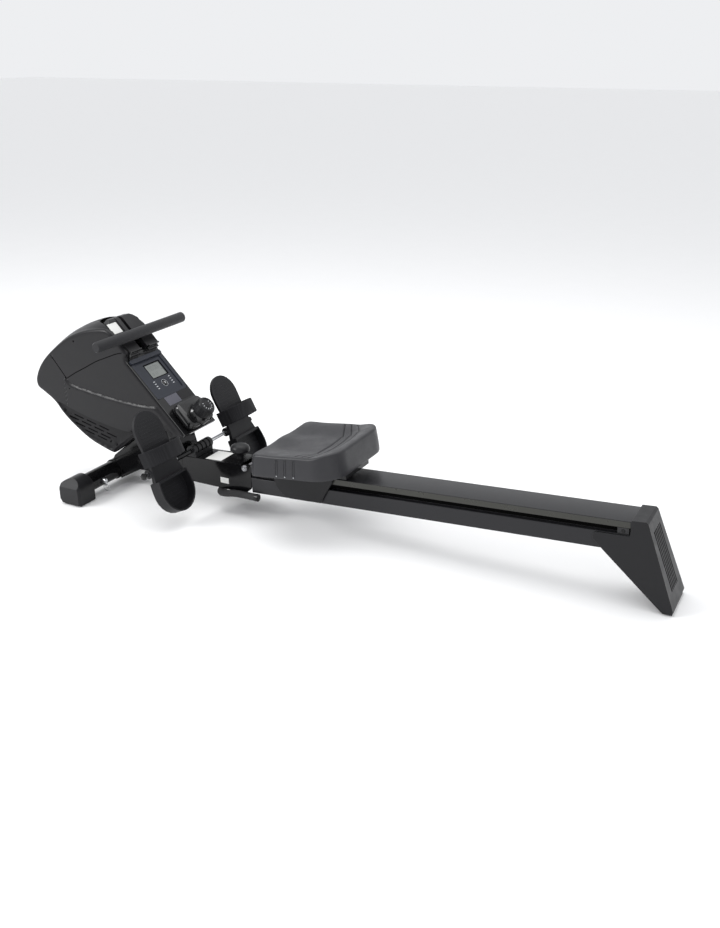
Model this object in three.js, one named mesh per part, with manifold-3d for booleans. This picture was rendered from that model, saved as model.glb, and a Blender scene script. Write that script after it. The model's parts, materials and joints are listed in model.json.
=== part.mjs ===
// Folding magnetic rowing machine.
// Millimetres, +Z up. +X points from the flywheel housing to the user's end of the rail, -Y is the
// user's left. The origin lies on the floor below the middle of the machine.
import * as THREE from 'three';
import { mergeVertices } from 'three/addons/utils/BufferGeometryUtils.js';
import Module from 'manifold-3d';

const wasm = await Module();
wasm.setup();

// ---------------------------------------------------------------- driving dimensions
const GAP = 0.3;                        // clearance between pieces that touch

const RAIL = {
  slope: Math.atan(0.06), topAtOrigin: 174.1,
  front: -233, rear: 906, width: 104, height: 84, wall: 3,
  grooveTop: 19, grooveBottom: 37, grooveDepth: 16,
};
const STABILIZER = { x: -770, z: 46.5, radius: 30, capLength: 73, half: 255 };
const LOCK_Y = -133;                    // lock pin, along the stabilizer
const BEAM = { front: -489.5, rear: -236, half: 45, bottom: 66, topAtPivot: 157, slope: 0.055, wall: 3 };
const PIVOT = { x: -256, z: 148 };
const FOLD_KNOB = { x: -302 };
const PEDAL = {
  x: -452, z: 168, lean: 25, inner: 127, width: 142, toe: 175, heel: 142, bed: 26, cup: 28,
};
const HOUSING = { half: 82, shoulder: 72, wall: 3, edge: 10, crown: 15, seam: 25, spineHalf: 22 };
const CONSOLE = { x: -596, z: 379, tilt: 45, half: 73, top: -74, bottom: 74, depth: 24 };
const FLYWHEEL = { x: -845, z: 335, radius: 120 };
const DRUM = { x: -690, z: 262, pulley: 75 };
const ROLLER = { x: -694, z: 470, radius: 8 };
const STRAP = { thickness: 1.6, half: 7.6, wound: 31 };
const HANDLE = { x: -648, z: 511, half: 208, grip: 16.5, tube: 11 };
const SEAT = { front: -159, rear: 123, half: 167, base: 14, bottom: 23, rise: 0.045 };
const FOOT = { rear: 1031, halfTop: 56, halfBottom: 72.5, top: 236 };

const DEG = Math.PI / 180;

// ---------------------------------------------------------------- materials
const finish = (color, roughness, metalness = 0) =>
  new THREE.MeshStandardMaterial({ color, roughness, metalness });
const MAT = {
  shell: finish(0x36363a, 0.5),
  gloss: finish(0x0d0d0f, 0.18),
  steelBlack: finish(0x101012, 0.25, 0.3),
  rail: finish(0x3d3e40, 0.42, 0.5),
  plastic: finish(0x2b2c2f, 0.55),
  rubber: finish(0x151516, 0.85),
  foam: finish(0x303033, 0.9),
  seat: finish(0x3a3b40, 0.6),
  steel: finish(0xb9bcc0, 0.3, 1),
  iron: finish(0x5a5c60, 0.5, 1),
  webbing: finish(0x17171a, 0.95),
  panel: finish(0x2a2e38, 0.45),
  lcd: finish(0xa5aca0, 0.25),
};

// ---------------------------------------------------------------- solids
function solid(geometry) {
  const bare = geometry.index ? geometry.toNonIndexed() : geometry.clone();
  bare.deleteAttribute('normal');
  bare.deleteAttribute('uv');
  const merged = mergeVertices(bare, 1e-3);
  return new wasm.Manifold(new wasm.Mesh({
    numProp: 3,
    vertProperties: new Float32Array(merged.attributes.position.array),
    triVerts: new Uint32Array(merged.index.array),
  }));
}

function geometryOf(body) {
  const mesh = body.getMesh();
  const geometry = new THREE.BufferGeometry();
  geometry.setAttribute('position', new THREE.BufferAttribute(new Float32Array(mesh.vertProperties), 3));
  geometry.setIndex(new THREE.BufferAttribute(new Uint32Array(mesh.triVerts), 1));
  geometry.computeVertexNormals();
  return geometry;
}

const join = (...bodies) => bodies.reduce((a, b) => a.add(b));
const cut = (body, ...tools) => tools.reduce((a, b) => a.subtract(b), body);

function boxGeometry(x0, x1, y0, y1, z0, z1) {
  return new THREE.BoxGeometry(x1 - x0, y1 - y0, z1 - z0)
    .translate((x0 + x1) / 2, (y0 + y1) / 2, (z0 + z1) / 2);
}
const box = (...sides) => solid(boxGeometry(...sides));

const shapeOf = (points) => new THREE.Shape(points.map(([x, z]) => new THREE.Vector2(x, z)));

// A side profile in the XZ plane, extruded across from y0 to y1.
function sideGeometry(shape, y0, y1, options = {}) {
  const outline = shape instanceof THREE.Shape ? shape : shapeOf(shape);
  const geometry = new THREE.ExtrudeGeometry(outline, {
    depth: y1 - y0, bevelEnabled: false, curveSegments: 10, ...options,
  });
  return geometry.rotateX(Math.PI / 2).translate(0, y1, 0);
}
const side = (shape, y0, y1, options) => solid(sideGeometry(shape, y0, y1, options));

// A plan outline in the XY plane, extruded up from z0 to z1.
function planGeometry(shape, z0, z1, options = {}) {
  const outline = shape instanceof THREE.Shape ? shape : shapeOf(shape);
  return new THREE.ExtrudeGeometry(outline, {
    depth: z1 - z0, bevelEnabled: false, curveSegments: 8, ...options,
  }).translate(0, 0, z0);
}
const plan = (shape, z0, z1, options) => solid(planGeometry(shape, z0, z1, options));

// A cross-section in the YZ plane, extruded along X from x0 to x1.
function sectionGeometry(points, x0, x1) {
  const outline = points instanceof THREE.Shape ? points : shapeOf(points);
  const geometry = new THREE.ExtrudeGeometry(outline, { depth: x1 - x0, bevelEnabled: false });
  return geometry.rotateZ(Math.PI / 2).rotateY(Math.PI / 2).translate(x0, 0, 0);
}
const section = (points, x0, x1) => solid(sectionGeometry(points, x0, x1));

// A turned piece about the Y axis: pairs of radius and place along Y, starting and ending on the axis.
function turnedGeometry(profile, segments = 24) {
  return new THREE.LatheGeometry(profile.map(([r, y]) => new THREE.Vector2(r, y)), segments);
}
const turned = (profile, segments) => solid(turnedGeometry(profile, segments));
const rodY = (radius, y0, y1, segments = 20) =>
  turned([[0, y0], [radius, y0], [radius, y1], [0, y1]], segments);
const ringY = (inner, outer, y0, y1, segments = 24) => turned(
  [[inner, y0], [outer, y0], [outer, y1], [inner, y1], [inner, y0]], segments);

const toX = (body) => body.rotate([0, 0, -90]);     // a turned piece laid along X
const toZ = (body) => body.rotate([90, 0, 0]);      // a turned piece stood up along Z

// A flat band that follows a path in the XZ plane.
function ribbon(path, thickness, y0, y1) {
  const edge = (sign) => path.map((p, i) => {
    const a = path[Math.max(i - 1, 0)];
    const b = path[Math.min(i + 1, path.length - 1)];
    const length = Math.hypot(b[0] - a[0], b[1] - a[1]);
    const reach = sign * thickness / 2 / length;
    return [p[0] - (b[1] - a[1]) * reach, p[1] + (b[0] - a[0]) * reach];
  });
  return side([...edge(-1), ...edge(1).reverse()], y0, y1);
}

function roundedRect(x0, x1, y0, y1, r) {
  const shape = new THREE.Shape();
  shape.moveTo(x0 + r, y0);
  shape.lineTo(x1 - r, y0);
  shape.absarc(x1 - r, y0 + r, r, -Math.PI / 2, 0);
  shape.lineTo(x1, y1 - r);
  shape.absarc(x1 - r, y1 - r, r, 0, Math.PI / 2);
  shape.lineTo(x0 + r, y1);
  shape.absarc(x0 + r, y1 - r, r, Math.PI / 2, Math.PI);
  shape.lineTo(x0, y0 + r);
  shape.absarc(x0 + r, y0 + r, r, Math.PI, 1.5 * Math.PI);
  return shape;
}

// A closed skin through rings of points that all have the same count.
function loft(rings) {
  const count = rings[0].length;
  const position = rings.flat(2);
  const index = [];
  for (let r = 0; r + 1 < rings.length; r += 1) {
    for (let i = 0; i < count; i += 1) {
      const a = r * count + i;
      const b = r * count + (i + 1) % count;
      index.push(a, b, b + count, a, b + count, a + count);
    }
  }
  const last = (rings.length - 1) * count;
  for (let i = 1; i + 1 < count; i += 1) {
    index.push(0, i + 1, i);
    index.push(last, last + i, last + i + 1);
  }
  const geometry = new THREE.BufferGeometry();
  geometry.setAttribute('position', new THREE.Float32BufferAttribute(position, 3));
  geometry.setIndex(index);
  return geometry;
}

// A closed skin across Y: each ring is a place along Y and an outline in the XZ plane.
function loftAcross(rings) {
  const count = rings[0][1].length;
  const position = rings.flatMap(([y, points]) => points.flatMap(([x, z]) => [x, y, z]));
  const index = [];
  for (let r = 0; r + 1 < rings.length; r += 1) {
    for (let i = 0; i < count; i += 1) {
      const a = r * count + i;
      const b = r * count + (i + 1) % count;
      index.push(a, a + count, b + count, a, b + count, b);
    }
  }
  const last = (rings.length - 1) * count;
  const cap = (points) => THREE.ShapeUtils.triangulateShape(points.map((p) => new THREE.Vector2(...p)), []);
  cap(rings[0][1]).forEach(([a, b, c]) => index.push(a, b, c));
  cap(rings.at(-1)[1]).forEach(([a, b, c]) => index.push(last + a, last + c, last + b));
  const geometry = new THREE.BufferGeometry();
  geometry.setAttribute('position', new THREE.Float32BufferAttribute(position, 3));
  geometry.setIndex(index);
  return solid(geometry);
}

// ---------------------------------------------------------------- scene graph
const machine = new THREE.Group();

function addMesh(parent, name, shape, material, x = 0, y = 0, z = 0) {
  const geometry = shape instanceof THREE.BufferGeometry ? shape : geometryOf(shape);
  geometry.computeVertexNormals();
  const mesh = new THREE.Mesh(geometry, material);
  mesh.name = name;
  mesh.position.set(x, y, z);
  parent.add(mesh);
  return mesh;
}

function tiltedGroup(x, z, angle) {
  const group = new THREE.Group();
  group.position.set(x, 0, z);
  group.rotation.y = angle;
  machine.add(group);
  return group;
}

const railGroup = tiltedGroup(0, RAIL.topAtOrigin, -RAIL.slope);
const panelGroup = tiltedGroup(CONSOLE.x, CONSOLE.z, CONSOLE.tilt * DEG);
const SIDES = [['left', -1], ['right', 1]];

// ---------------------------------------------------------------- front stabilizer
const beamTop = (x) => BEAM.topAtPivot + BEAM.slope * (x - PIVOT.x);

function makeStabilizer() {
  const { x, z, radius, half, capLength } = STABILIZER;
  const tubeHalf = half - 25;
  const tube = cut(
    ringY(radius - 2.5, radius, -tubeHalf, tubeHalf, 28),
    toX(rodY(4.4, 20, 40, 14)).translate([0, LOCK_Y, 0]));
  addMesh(machine, 'front_stabilizer_tube', tube, MAT.steelBlack, x, 0, z);

  // End cap: flat sole on the floor, upright flanks and a round top, bevelled at its outer end.
  const outline = new THREE.Shape();
  outline.moveTo(-36, -z);
  outline.lineTo(33, -z);
  outline.lineTo(36, -z + 3);
  outline.lineTo(36, 2);
  outline.absellipse(-5, 2, 41, 33, 0, Math.PI);
  outline.lineTo(-46, -z + 14);
  const inner = half - capLength;
  const bevel = 9;
  const chamfer = box(-60, 60, -40, 60, 0, 60).rotate([-42, 0, 0]).translate([0, half - 10, 21]);
  for (const [word, sign] of SIDES) {
    let cap = side(outline, inner, half - bevel);
    const points = outline.getPoints(7).filter((p, i, all) => i === 0 || p.distanceTo(all[i - 1]) > 1e-3);
    const full = points.map((p) => [p.x, half - bevel - 0.01, p.y]);
    const small = points.map((p) => [p.x * 0.88, half, Math.max(p.y * 0.88, -z)]);
    cap = join(cap, solid(loft([full.reverse(), small.reverse()])));
    cap = cut(cap, rodY(radius + GAP, inner - 1, tubeHalf + 0.5, 28), chamfer);
    if (sign < 0) cap = cap.mirror([0, 1, 0]);
    addMesh(machine, `stabilizer_cap_${word}`, cap, MAT.plastic, x, 0, z);
  }

  // Saddle plate wrapped round the middle of the tube; the post is welded to it.
  const saddle = cut(ringY(radius + GAP, radius + 3.5, -47, 47, 28), box(-50, -20, -100, 100, -60, -12));
  addMesh(machine, 'stabilizer_saddle', saddle, MAT.steelBlack, x, 0, z);
}

// ---------------------------------------------------------------- frame
function makeFrame() {
  const { x, z, radius } = STABILIZER;
  const half = BEAM.half;
  // Hollow post that climbs from the stabilizer to the beam, open towards the beam.
  const post = cut(
    side([[-775, 72], [-761, 98], [-640, 198], [-580, 246], [-545, 246], [-508, 205], [-490, beamTop(-490)],
      [-490, 66], [-661, 66], [-742, 20]], -half, half),
    side([[-735, 60], [-748, 92], [-640, 182], [-578, 231], [-548, 231], [-512, 192], [-497, 140],
      [-480, 140], [-480, 69], [-661, 69]], -half + BEAM.wall, half - BEAM.wall),
    rodY(radius + 3.5 + GAP, -60, 60, 28).translate([x, 0, z]));
  addMesh(machine, 'front_post', post, MAT.steelBlack);

  // Inverted channel under the pedals: top plate with two cheeks, open below.
  const cheeks = [[BEAM.front, beamTop(BEAM.front)], [BEAM.rear - 26, beamTop(BEAM.rear - 26)],
    [BEAM.rear - 6, beamTop(BEAM.rear)], [BEAM.rear, beamTop(BEAM.rear) - 8], [BEAM.rear, 84],
    [BEAM.rear - 20, BEAM.bottom], [BEAM.front, BEAM.bottom]];
  const below = BEAM.wall;
  const plateEnd = PIVOT.x - 17;
  const beam = cut(
    side(cheeks, -half, half),
    side([[BEAM.front - 5, beamTop(BEAM.front) - below], [plateEnd, beamTop(plateEnd) - below], [plateEnd, 190],
      [-200, 190], [-200, 40], [BEAM.front - 5, 40]], -half + below, half - below),
    rodY(6.3, -60, 60).translate([PIVOT.x, 0, PIVOT.z]),
    toZ(rodY(6, -20, 20)).translate([FOLD_KNOB.x, 0, beamTop(FOLD_KNOB.x)]));
  addMesh(machine, 'main_beam', beam, MAT.steelBlack);

  // Bent stand bar with a rubber cover: it takes the load when the rail is folded up.
  const route = new THREE.CatmullRomCurve3([
    [-202, -60, 67], [-240, -60, 66.5], [-285, -60, 65], [-320, -60, 59], [-345, -50, 54.4], [-356, -28, 54],
    [-358, 0, 54], [-356, 28, 54], [-345, 50, 54.4], [-320, 60, 59], [-285, 60, 65], [-240, 60, 66.5],
    [-202, 60, 67],
  ].map((p) => new THREE.Vector3(...p)), false, 'centripetal');
  const circle = new THREE.Shape();
  circle.absarc(0, 0, 11, 0, 2 * Math.PI);
  addMesh(machine, 'stand_bar', solid(new THREE.ExtrudeGeometry(circle, {
    steps: 32, curveSegments: 5, bevelEnabled: false, extrudePath: route,
  })), MAT.rubber);

  // Upright plates inside the housing that carry the axles.
  const outline = [[-680, 152], [-560, 112], [-530, 160], [-558, 254], [-585, 296], [-680, 392], [-685, 474],
    [-704, 478], [-738, 452], [-742, 398], [-752, 352], [-830, 360], [-868, 350], [-868, 320], [-830, 308],
    [-750, 250]];
  const shoeAngle = 17 * DEG;
  const shoeRadius = FLYWHEEL.radius + 12;
  const magnetPin = rodY(4, -48, 45, 14).translate([
    FLYWHEEL.x + shoeRadius * Math.cos(shoeAngle), 0, FLYWHEEL.z + shoeRadius * Math.sin(shoeAngle)]);
  const rollerPin = rodY(3, -48, 45, 12).translate([ROLLER.x, 0, ROLLER.z]);
  for (const [word, sign] of SIDES) {
    const y0 = sign < 0 ? -half - 3.5 : half + 0.5;
    let plate = cut(
      side(outline, y0, y0 + 3),
      rodY(6.4, -60, 60, 14).translate([FLYWHEEL.x, 0, FLYWHEEL.z]),
      rodY(6.4, -60, 60, 14).translate([DRUM.x, 0, DRUM.z]));
    if (sign < 0) plate = join(plate, magnetPin, rollerPin);
    addMesh(machine, `mast_plate_${word}`, plate, MAT.iron);
  }
}

// ---------------------------------------------------------------- housing
// How much of the crown applies at a place on the outline: none at the nose, most above the console.
function crownShare(x, z) {
  const clamp = (v) => Math.min(Math.max(v, 0), 1);
  return clamp((z - 340) / 100) * (1 + 0.5 * clamp((x + 860) / 130)) * clamp((-690 - x) / 20);
}

function housingOutline(inset = 0, crown = 0) {
  const points = [
    [-446, 229], [-648, 431], [-652, 448], [-644, 460], [-700, 518], [-714, 525], [-729, 527], [-768, 522],
    [-809, 512], [-852, 496], [-891, 475], [-925, 451], [-957, 426], [-985, 400], [-1007, 374], [-1023, 347],
    [-1031, 322], [-1026, 300], [-1000, 284], [-971, 267], [-952, 250], [-934, 228], [-904, 201], [-866, 174],
    [-827, 151], [-788, 136], [-748, 124], [-732, 122], [-662, 176], [-600, 224], [-556, 268], [-489, 201]];
  const count = points.length;
  return points.map((p, i) => {
    const a = points[(i + count - 1) % count];
    const b = points[(i + 1) % count];
    const length = Math.hypot(b[0] - a[0], b[1] - a[1]);
    const move = inset - crown * crownShare(...p);
    return [p[0] - (b[1] - a[1]) / length * move, p[1] + (b[0] - a[0]) / length * move];
  });
}

// Lower part of the flank, where the cooling slots are.
const VENT_ZONE = [[-985, 264], [-933, 257], [-853, 238], [-773, 220], [-694, 207], [-620, 204], [-640, 100],
  [-1010, 100]];

function makeHousing() {
  const { half, shoulder, wall, edge, crown, seam, spineHalf } = HOUSING;
  const crownAt = (y) => crown * (1 - (y / shoulder) ** 2);
  const skin = (start, inset) => loftAcross([
    ...[start, 42, 58, shoulder].map((y) => [y, housingOutline(inset, crownAt(y))]),
    [half - 3 - inset, housingOutline(inset + 3.5)],
    [half - inset, housingOutline(inset + edge)]]);
  // Openings: for the handle seat, for the console and tension unit, and for the post with its plates.
  const toWorld = (body) => body.rotate([0, CONSOLE.tilt, 0]).translate([CONSOLE.x, 0, CONSOLE.z]);
  const handleSeat = toWorld(plan(
    [[-226.6, -38], [-192.4, -68], [-72, -68], [-72, 68], [-192.4, 68], [-226.6, 38]], -60, 90));
  const mouth = side([[-430, 215], [-436, 245], [-636, 460], [-655, 455], [-670, 425], [-478, 212]],
    0, half - wall);
  const postZone = side([[-790, 60], [-763, 100], [-760, 118], [-735, 130], [-660, 186], [-598, 235],
    [-575, 300], [-430, 240], [-430, 40]], 0, 49.5);
  const tail = side([[-600, 215], [-556, 300], [-430, 240], [-430, 100], [-600, 100]], 0, 67);

  for (const [word, sign] of SIDES) {
    let flank = cut(skin(seam, 0), skin(seam - 5, wall), handleSeat, mouth, postZone, tail);
    const zone = side(VENT_ZONE, half - wall - 5, half - wall + 0.5)
      .intersect(side(housingOutline(2), seam, half));
    flank = cut(join(flank, zone), side(VENT_ZONE, half - 5, half + 2));
    const slot = (x, z) => box(-17, 17, half - wall - 7, half + 1, -1.8, 1.8)
      .rotate([0, 13, 0]).translate([x, 0, z]);
    const rows = [[-915, 234, 4], [-886, 215, 4], [-862, 196, 3], [-826, 176, 3]];
    const slots = rows.flatMap(([x, z, count]) =>
      Array.from({ length: count }, (_, i) => slot(x + i * 50, z - i * 11)));
    flank = cut(flank, ...slots);
    if (sign < 0) flank = flank.mirror([0, 1, 0]);
    addMesh(machine, `housing_shell_${word}`, flank, MAT.shell);
  }

  // Spine: the band between the two shells, round the top, nose and belly, with a flange under each shell.
  const under = 0.73 * crown;
  const band = (outer, inner, width) =>
    side([...outer.slice(6, 27), ...inner.slice(6, 27).reverse()], -width, width);
  const spine = cut(
    join(
      band(housingOutline(0, crown), housingOutline(2.2 * wall, under), spineHalf),
      band(housingOutline(1.2 * wall, under), housingOutline(2.2 * wall, under), spineHalf + 10)),
    handleSeat);
  addMesh(machine, 'housing_spine', spine, MAT.shell);
}

// ---------------------------------------------------------------- front panel, in the sloped frame
function makePanel() {
  const { half, top, bottom, depth } = CONSOLE;

  // Bridge block above the handle tray, with the opening and the slot of the pull strap.
  const bridge = cut(
    side([[-225, -6], [-224, 12], [-215, 24], [-207, 27], [-92, 27], [-92, 8], [-150, 8], [-186, 4],
      [-205, -16]], -67, 67)
      .intersect(plan([[-226, -38], [-192, -67.5], [-80, -67.5], [-80, 67.5], [-192, 67.5], [-226, 38]],
        -40, 60)),
    box(-148, -80, -16, 16, 0, 60),
    box(-230, -147, -5, 7, 14, 60),
    box(-230, -160, -25, -22, 23, 60),
    box(-203, -163, -70, -27, 24, 40));
  addMesh(panelGroup, 'bridge_block', bridge, MAT.shell);

  const tray = cut(
    side([[-91.5, 6], [-91.5, 34], [-87, 34], [-87, 22], [-80, 22], [-80, 8], [-74.5, 8], [-74.5, -18],
      [-79, -18], [-84, 6]], -67, 67),
    box(-97, -79, -18, 18, 14, 40));
  addMesh(panelGroup, 'handle_tray', tray, MAT.gloss);

  // Console case with a hood at its upper edge and a sunk face.
  const display = { x0: -44, x1: 5, y0: -26, y1: 45 };
  const button = { x: 31, y: 4 };
  const arc = { curveSegments: 4 };
  const consoleCase = cut(
    join(plan(roundedRect(top + 0.3, bottom, -half, half, 7), -depth, 2, arc),
      plan(roundedRect(top + 0.3, top + 14, -half, half, 4), -4, 9, arc)),
    plan(roundedRect(top + 16, bottom - 9, -half + 12, half - 12, 5), -0.5, 4, arc),
    box(display.x0, display.x1, display.y0, display.y1, -9, 4),
    toZ(rodY(9.4, -12, 12)).translate([button.x, button.y, 0]),
    plan(roundedRect(top + 8, bottom - 6, -half + 5, half - 5, 5), -depth - 1, -12, arc));
  addMesh(panelGroup, 'console_case', consoleCase, MAT.panel);
  addMesh(panelGroup, 'console_display',
    boxGeometry(display.x0 + GAP, display.x1 - GAP, display.y0 + GAP, display.y1 - GAP, -8.7, -3.5), MAT.lcd);
  const cap = toZ(turned([[0, -8], [8.8, -8], [8.8, 0.8], [7.5, 1.8], [0, 2]], 20));
  addMesh(panelGroup, 'console_button', cap, MAT.gloss, button.x, button.y, 0);

  // Glossy carrier: side rails beside the console and the plate below it.
  const carrier = cut(
    plan([[top - 6, -78.6], [212, -78.6], [212, 78.6], [top - 6, 78.6]], -9, 2),
    plan([[top - 20, -73.4], [bottom + 0.4, -73.4], [bottom + 0.4, 73.4], [top - 20, 73.4]], -12, 4));
  addMesh(panelGroup, 'panel_carrier', carrier, MAT.gloss);

  // Tension unit: rounded cover, boss and knob.
  const unitX = 176;
  const cover = plan(roundedRect(126, 198, -52, 52, 12), 12.3, 22, {
    bevelEnabled: true, bevelThickness: 10, bevelSize: 10, bevelSegments: 2, curveSegments: 3,
  });
  const unit = cut(
    join(cover, toZ(turned([[0, 20], [36, 20], [35, 40], [31, 47], [0, 47]], 28)).translate([unitX, 0, 0])),
    toZ(rodY(6.4, 0, 60)).translate([unitX, 0, 0]),
    plan(roundedRect(124, 200, -54, 54, 10), -5, 22, arc));
  addMesh(panelGroup, 'tension_cover', unit, MAT.gloss);
  const knob = join(
    toZ(turned([[0, 47.6], [30, 47.6], [30, 53], [27, 78], [22, 83], [0, 83]], 28)),
    toZ(rodY(6, 14, 50)));
  addMesh(panelGroup, 'tension_knob', knob, MAT.plastic, unitX, 0, 0);
}

// ---------------------------------------------------------------- drive
function makeDrive() {
  // Flywheel: rim, web and hub, with the small belt pulley on the same hub.
  const wheel = turned([
    [8, -24], [31, -24], [31, -16], [96, -16], [96, -24], [FLYWHEEL.radius, -24], [FLYWHEEL.radius, 2], [96, 2],
    [96, -6], [31, -6], [31, 2], [14, 2], [14, 17], [28, 17], [28, 20], [24.5, 21], [24.5, 31], [28, 32],
    [28, 35], [8, 35], [8, -24]], 40);
  addMesh(machine, 'flywheel', wheel, MAT.iron, FLYWHEEL.x, 0, FLYWHEEL.z);
  const axle = (start) => turned(
    [[0, -56], [6, -56], [6, start], [7.6, start], [7.6, 40], [6, 40], [6, 56], [0, 56]], 16);
  addMesh(machine, 'flywheel_axle', axle(-30), MAT.steel, FLYWHEEL.x, 0, FLYWHEEL.z);

  addMesh(machine, 'drum_pulley', turned(
    [[8, 17], [30, 17], [30, 22], [66, 22], [66, 17], [DRUM.pulley, 17], [DRUM.pulley, 20], [72, 21], [72, 31],
      [DRUM.pulley, 32], [DRUM.pulley, 35], [66, 35], [66, 30], [30, 30], [30, 35], [8, 35], [8, 17]], 28),
  MAT.plastic, DRUM.x, 0, DRUM.z);
  addMesh(machine, 'strap_drum', turned(
    [[8, -16], [44, -16], [44, -14], [26, -14], [26, 14], [44, 14], [44, 16], [8, 16], [8, -16]], 24),
  MAT.plastic, DRUM.x, 0, DRUM.z);
  addMesh(machine, 'recoil_spring_case', turned(
    [[8, -42], [46, -42], [48, -40], [48, -19], [8, -19], [8, -42]], 24), MAT.iron, DRUM.x, 0, DRUM.z);
  addMesh(machine, 'drum_axle', axle(-43), MAT.steel, DRUM.x, 0, DRUM.z);

  // Belt: outer tangents and arcs round the two pulleys.
  const dx = DRUM.x - FLYWHEEL.x;
  const dz = DRUM.z - FLYWHEEL.z;
  const length = Math.hypot(dx, dz);
  const along = Math.atan2(dz, dx);
  const beltLoop = (extra) => {
    const small = 24.9 + extra;
    const large = 72.4 + extra;
    const lean = Math.acos((small - large) / length);
    const shape = new THREE.Shape();
    shape.absarc(length, 0, large, -lean, lean, false);
    shape.absarc(0, 0, small, lean, 2 * Math.PI - lean, false);
    return shape;
  };
  const belt = cut(side(beltLoop(2.2), 22, 30, { curveSegments: 12 }),
    side(beltLoop(0), 21, 31, { curveSegments: 12 }))
    .rotate([0, -along / DEG, 0]).translate([FLYWHEEL.x, 0, FLYWHEEL.z]);
  addMesh(machine, 'drive_belt', belt, MAT.rubber);

  // Magnet shoe on an arm that swings towards the rim of the flywheel.
  const shoeIn = FLYWHEEL.radius + 5;
  const shoe = new THREE.Shape();
  shoe.absarc(0, 0, shoeIn + 14, 12 * DEG, 74 * DEG, false);
  shoe.absarc(0, 0, shoeIn, 74 * DEG, 12 * DEG, true);
  const hinge = [(shoeIn + 7) * Math.cos(17 * DEG), 0, (shoeIn + 7) * Math.sin(17 * DEG)];
  const magnet = cut(side(shoe, -30, 8, { curveSegments: 8 }), rodY(4.3, -40, 40, 14).translate(hinge));
  addMesh(machine, 'magnet_shoe', magnet, MAT.iron, FLYWHEEL.x, 0, FLYWHEEL.z);
}

// ---------------------------------------------------------------- handle and strap
function makeHandle() {
  const { x, z, half, grip, tube } = HANDLE;
  addMesh(machine, 'handle_tube', ringY(tube - 2, tube, -half + 6, half - 6, 20), MAT.steelBlack, x, 0, z);
  const foam = cut(
    turned([[0, -half], [grip - 4, -half], [grip, -half + 5], [grip, half - 5], [grip - 4, half],
      [0, half]], 24),
    rodY(tube + GAP, -half + 5.5, half - 5.5, 20));
  const turn = [0, CONSOLE.tilt, 0];
  const notch = box(-7, 7, -13, 13, -30, -8).rotate(turn);
  addMesh(machine, 'handle_foam', cut(foam, notch), MAT.foam, x, 0, z);
  // Eye that holds the strap, set in the notch of the foam behind the bar.
  const eye = cut(box(-5, 5, -11, 11, -31, 0), rodY(tube + GAP, -20, 20, 20), box(-10, 10, -8, 8, -28, -20));
  addMesh(machine, 'handle_eye', eye.rotate(turn), MAT.steel, x, 0, z);

  addMesh(machine, 'strap_roller', ringY(3.4, ROLLER.radius, -12, 12, 20), MAT.plastic, ROLLER.x, 0, ROLLER.z);

  // Pull strap: wound on the drum, up to the roller and over it, then out to the eye of the handle.
  const { thickness, half: strapHalf, wound } = STRAP;
  const onRoller = ROLLER.radius + GAP + thickness / 2;
  const onDrum = wound - thickness / 2;
  const rise = [ROLLER.x - DRUM.x, ROLLER.z - DRUM.z];
  const leave = Math.atan2(rise[1], rise[0]) - Math.acos((onDrum + onRoller) / Math.hypot(...rise));
  const polar = (centre, radius, angle) => [
    centre.x + radius * Math.cos(angle), centre.z + radius * Math.sin(angle)];
  const first = leave + Math.PI;
  const last = 117 * DEG;
  const over = [0, 1, 2, 3, 4].map((i) => polar(ROLLER, onRoller, first + (last - first) * i / 4));
  const inner = join(
    ringY(26.3, wound, -strapHalf, strapHalf, 24).translate([DRUM.x, 0, DRUM.z]),
    ribbon([polar(DRUM, onDrum, leave), ...over], thickness, -strapHalf, strapHalf));
  addMesh(machine, 'strap_inner', inner, MAT.webbing);

  // The free run ends in a loop round the bar of the eye.
  const start = polar(ROLLER, onRoller, last);
  const cosine = Math.cos(CONSOLE.tilt * DEG);
  const barX = (x - CONSOLE.x - z + CONSOLE.z) * cosine;
  const barZ = (x - CONSOLE.x + z - CONSOLE.z) * cosine - 29.5;
  const loop = cut(
    box(barX - 7, barX + 7, -strapHalf, strapHalf, barZ - 4, barZ + 3.5),
    box(barX - 5.3, barX + 5.3, -20, 20, barZ - 1.8, barZ + 1.8));
  const end = [CONSOLE.x + (barX + barZ - 4) * cosine, CONSOLE.z + (barZ - barX - 2) * cosine];
  const reach = Math.hypot(end[0] - start[0], end[1] - start[1]);
  const from = [start[0] + (end[0] - start[0]) * 0.6 / reach, start[1] + (end[1] - start[1]) * 0.6 / reach];
  const outer = join(
    loop.rotate([0, CONSOLE.tilt, 0]).translate([CONSOLE.x, 0, CONSOLE.z]),
    ribbon([from, end], thickness, -strapHalf, strapHalf));
  addMesh(machine, 'strap_outer', outer, MAT.webbing);
}

// ---------------------------------------------------------------- pedals
function footOutline(margin) {
  const w = PEDAL.width / 2 - margin;
  const toe = PEDAL.toe - margin;
  const heel = -PEDAL.heel + margin;
  const shape = new THREE.Shape();
  const toeHalf = w * 0.86;
  const waist = w * 0.8;
  shape.moveTo(heel + w * 0.95, -w);
  shape.bezierCurveTo(heel + w * 1.6, -w, -15, -waist, 25, -waist);
  shape.bezierCurveTo(60, -waist, 80, -toeHalf, toe - toeHalf, -toeHalf);
  shape.absarc(toe - toeHalf, 0, toeHalf, -Math.PI / 2, Math.PI / 2);
  shape.bezierCurveTo(80, toeHalf, 60, waist, 25, waist);
  shape.bezierCurveTo(-15, waist, heel + w * 1.6, w, heel + w * 0.95, w);
  shape.absellipse(heel + w * 0.95, 0, w * 0.95, w, Math.PI / 2, 1.5 * Math.PI);
  return shape;
}

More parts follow.
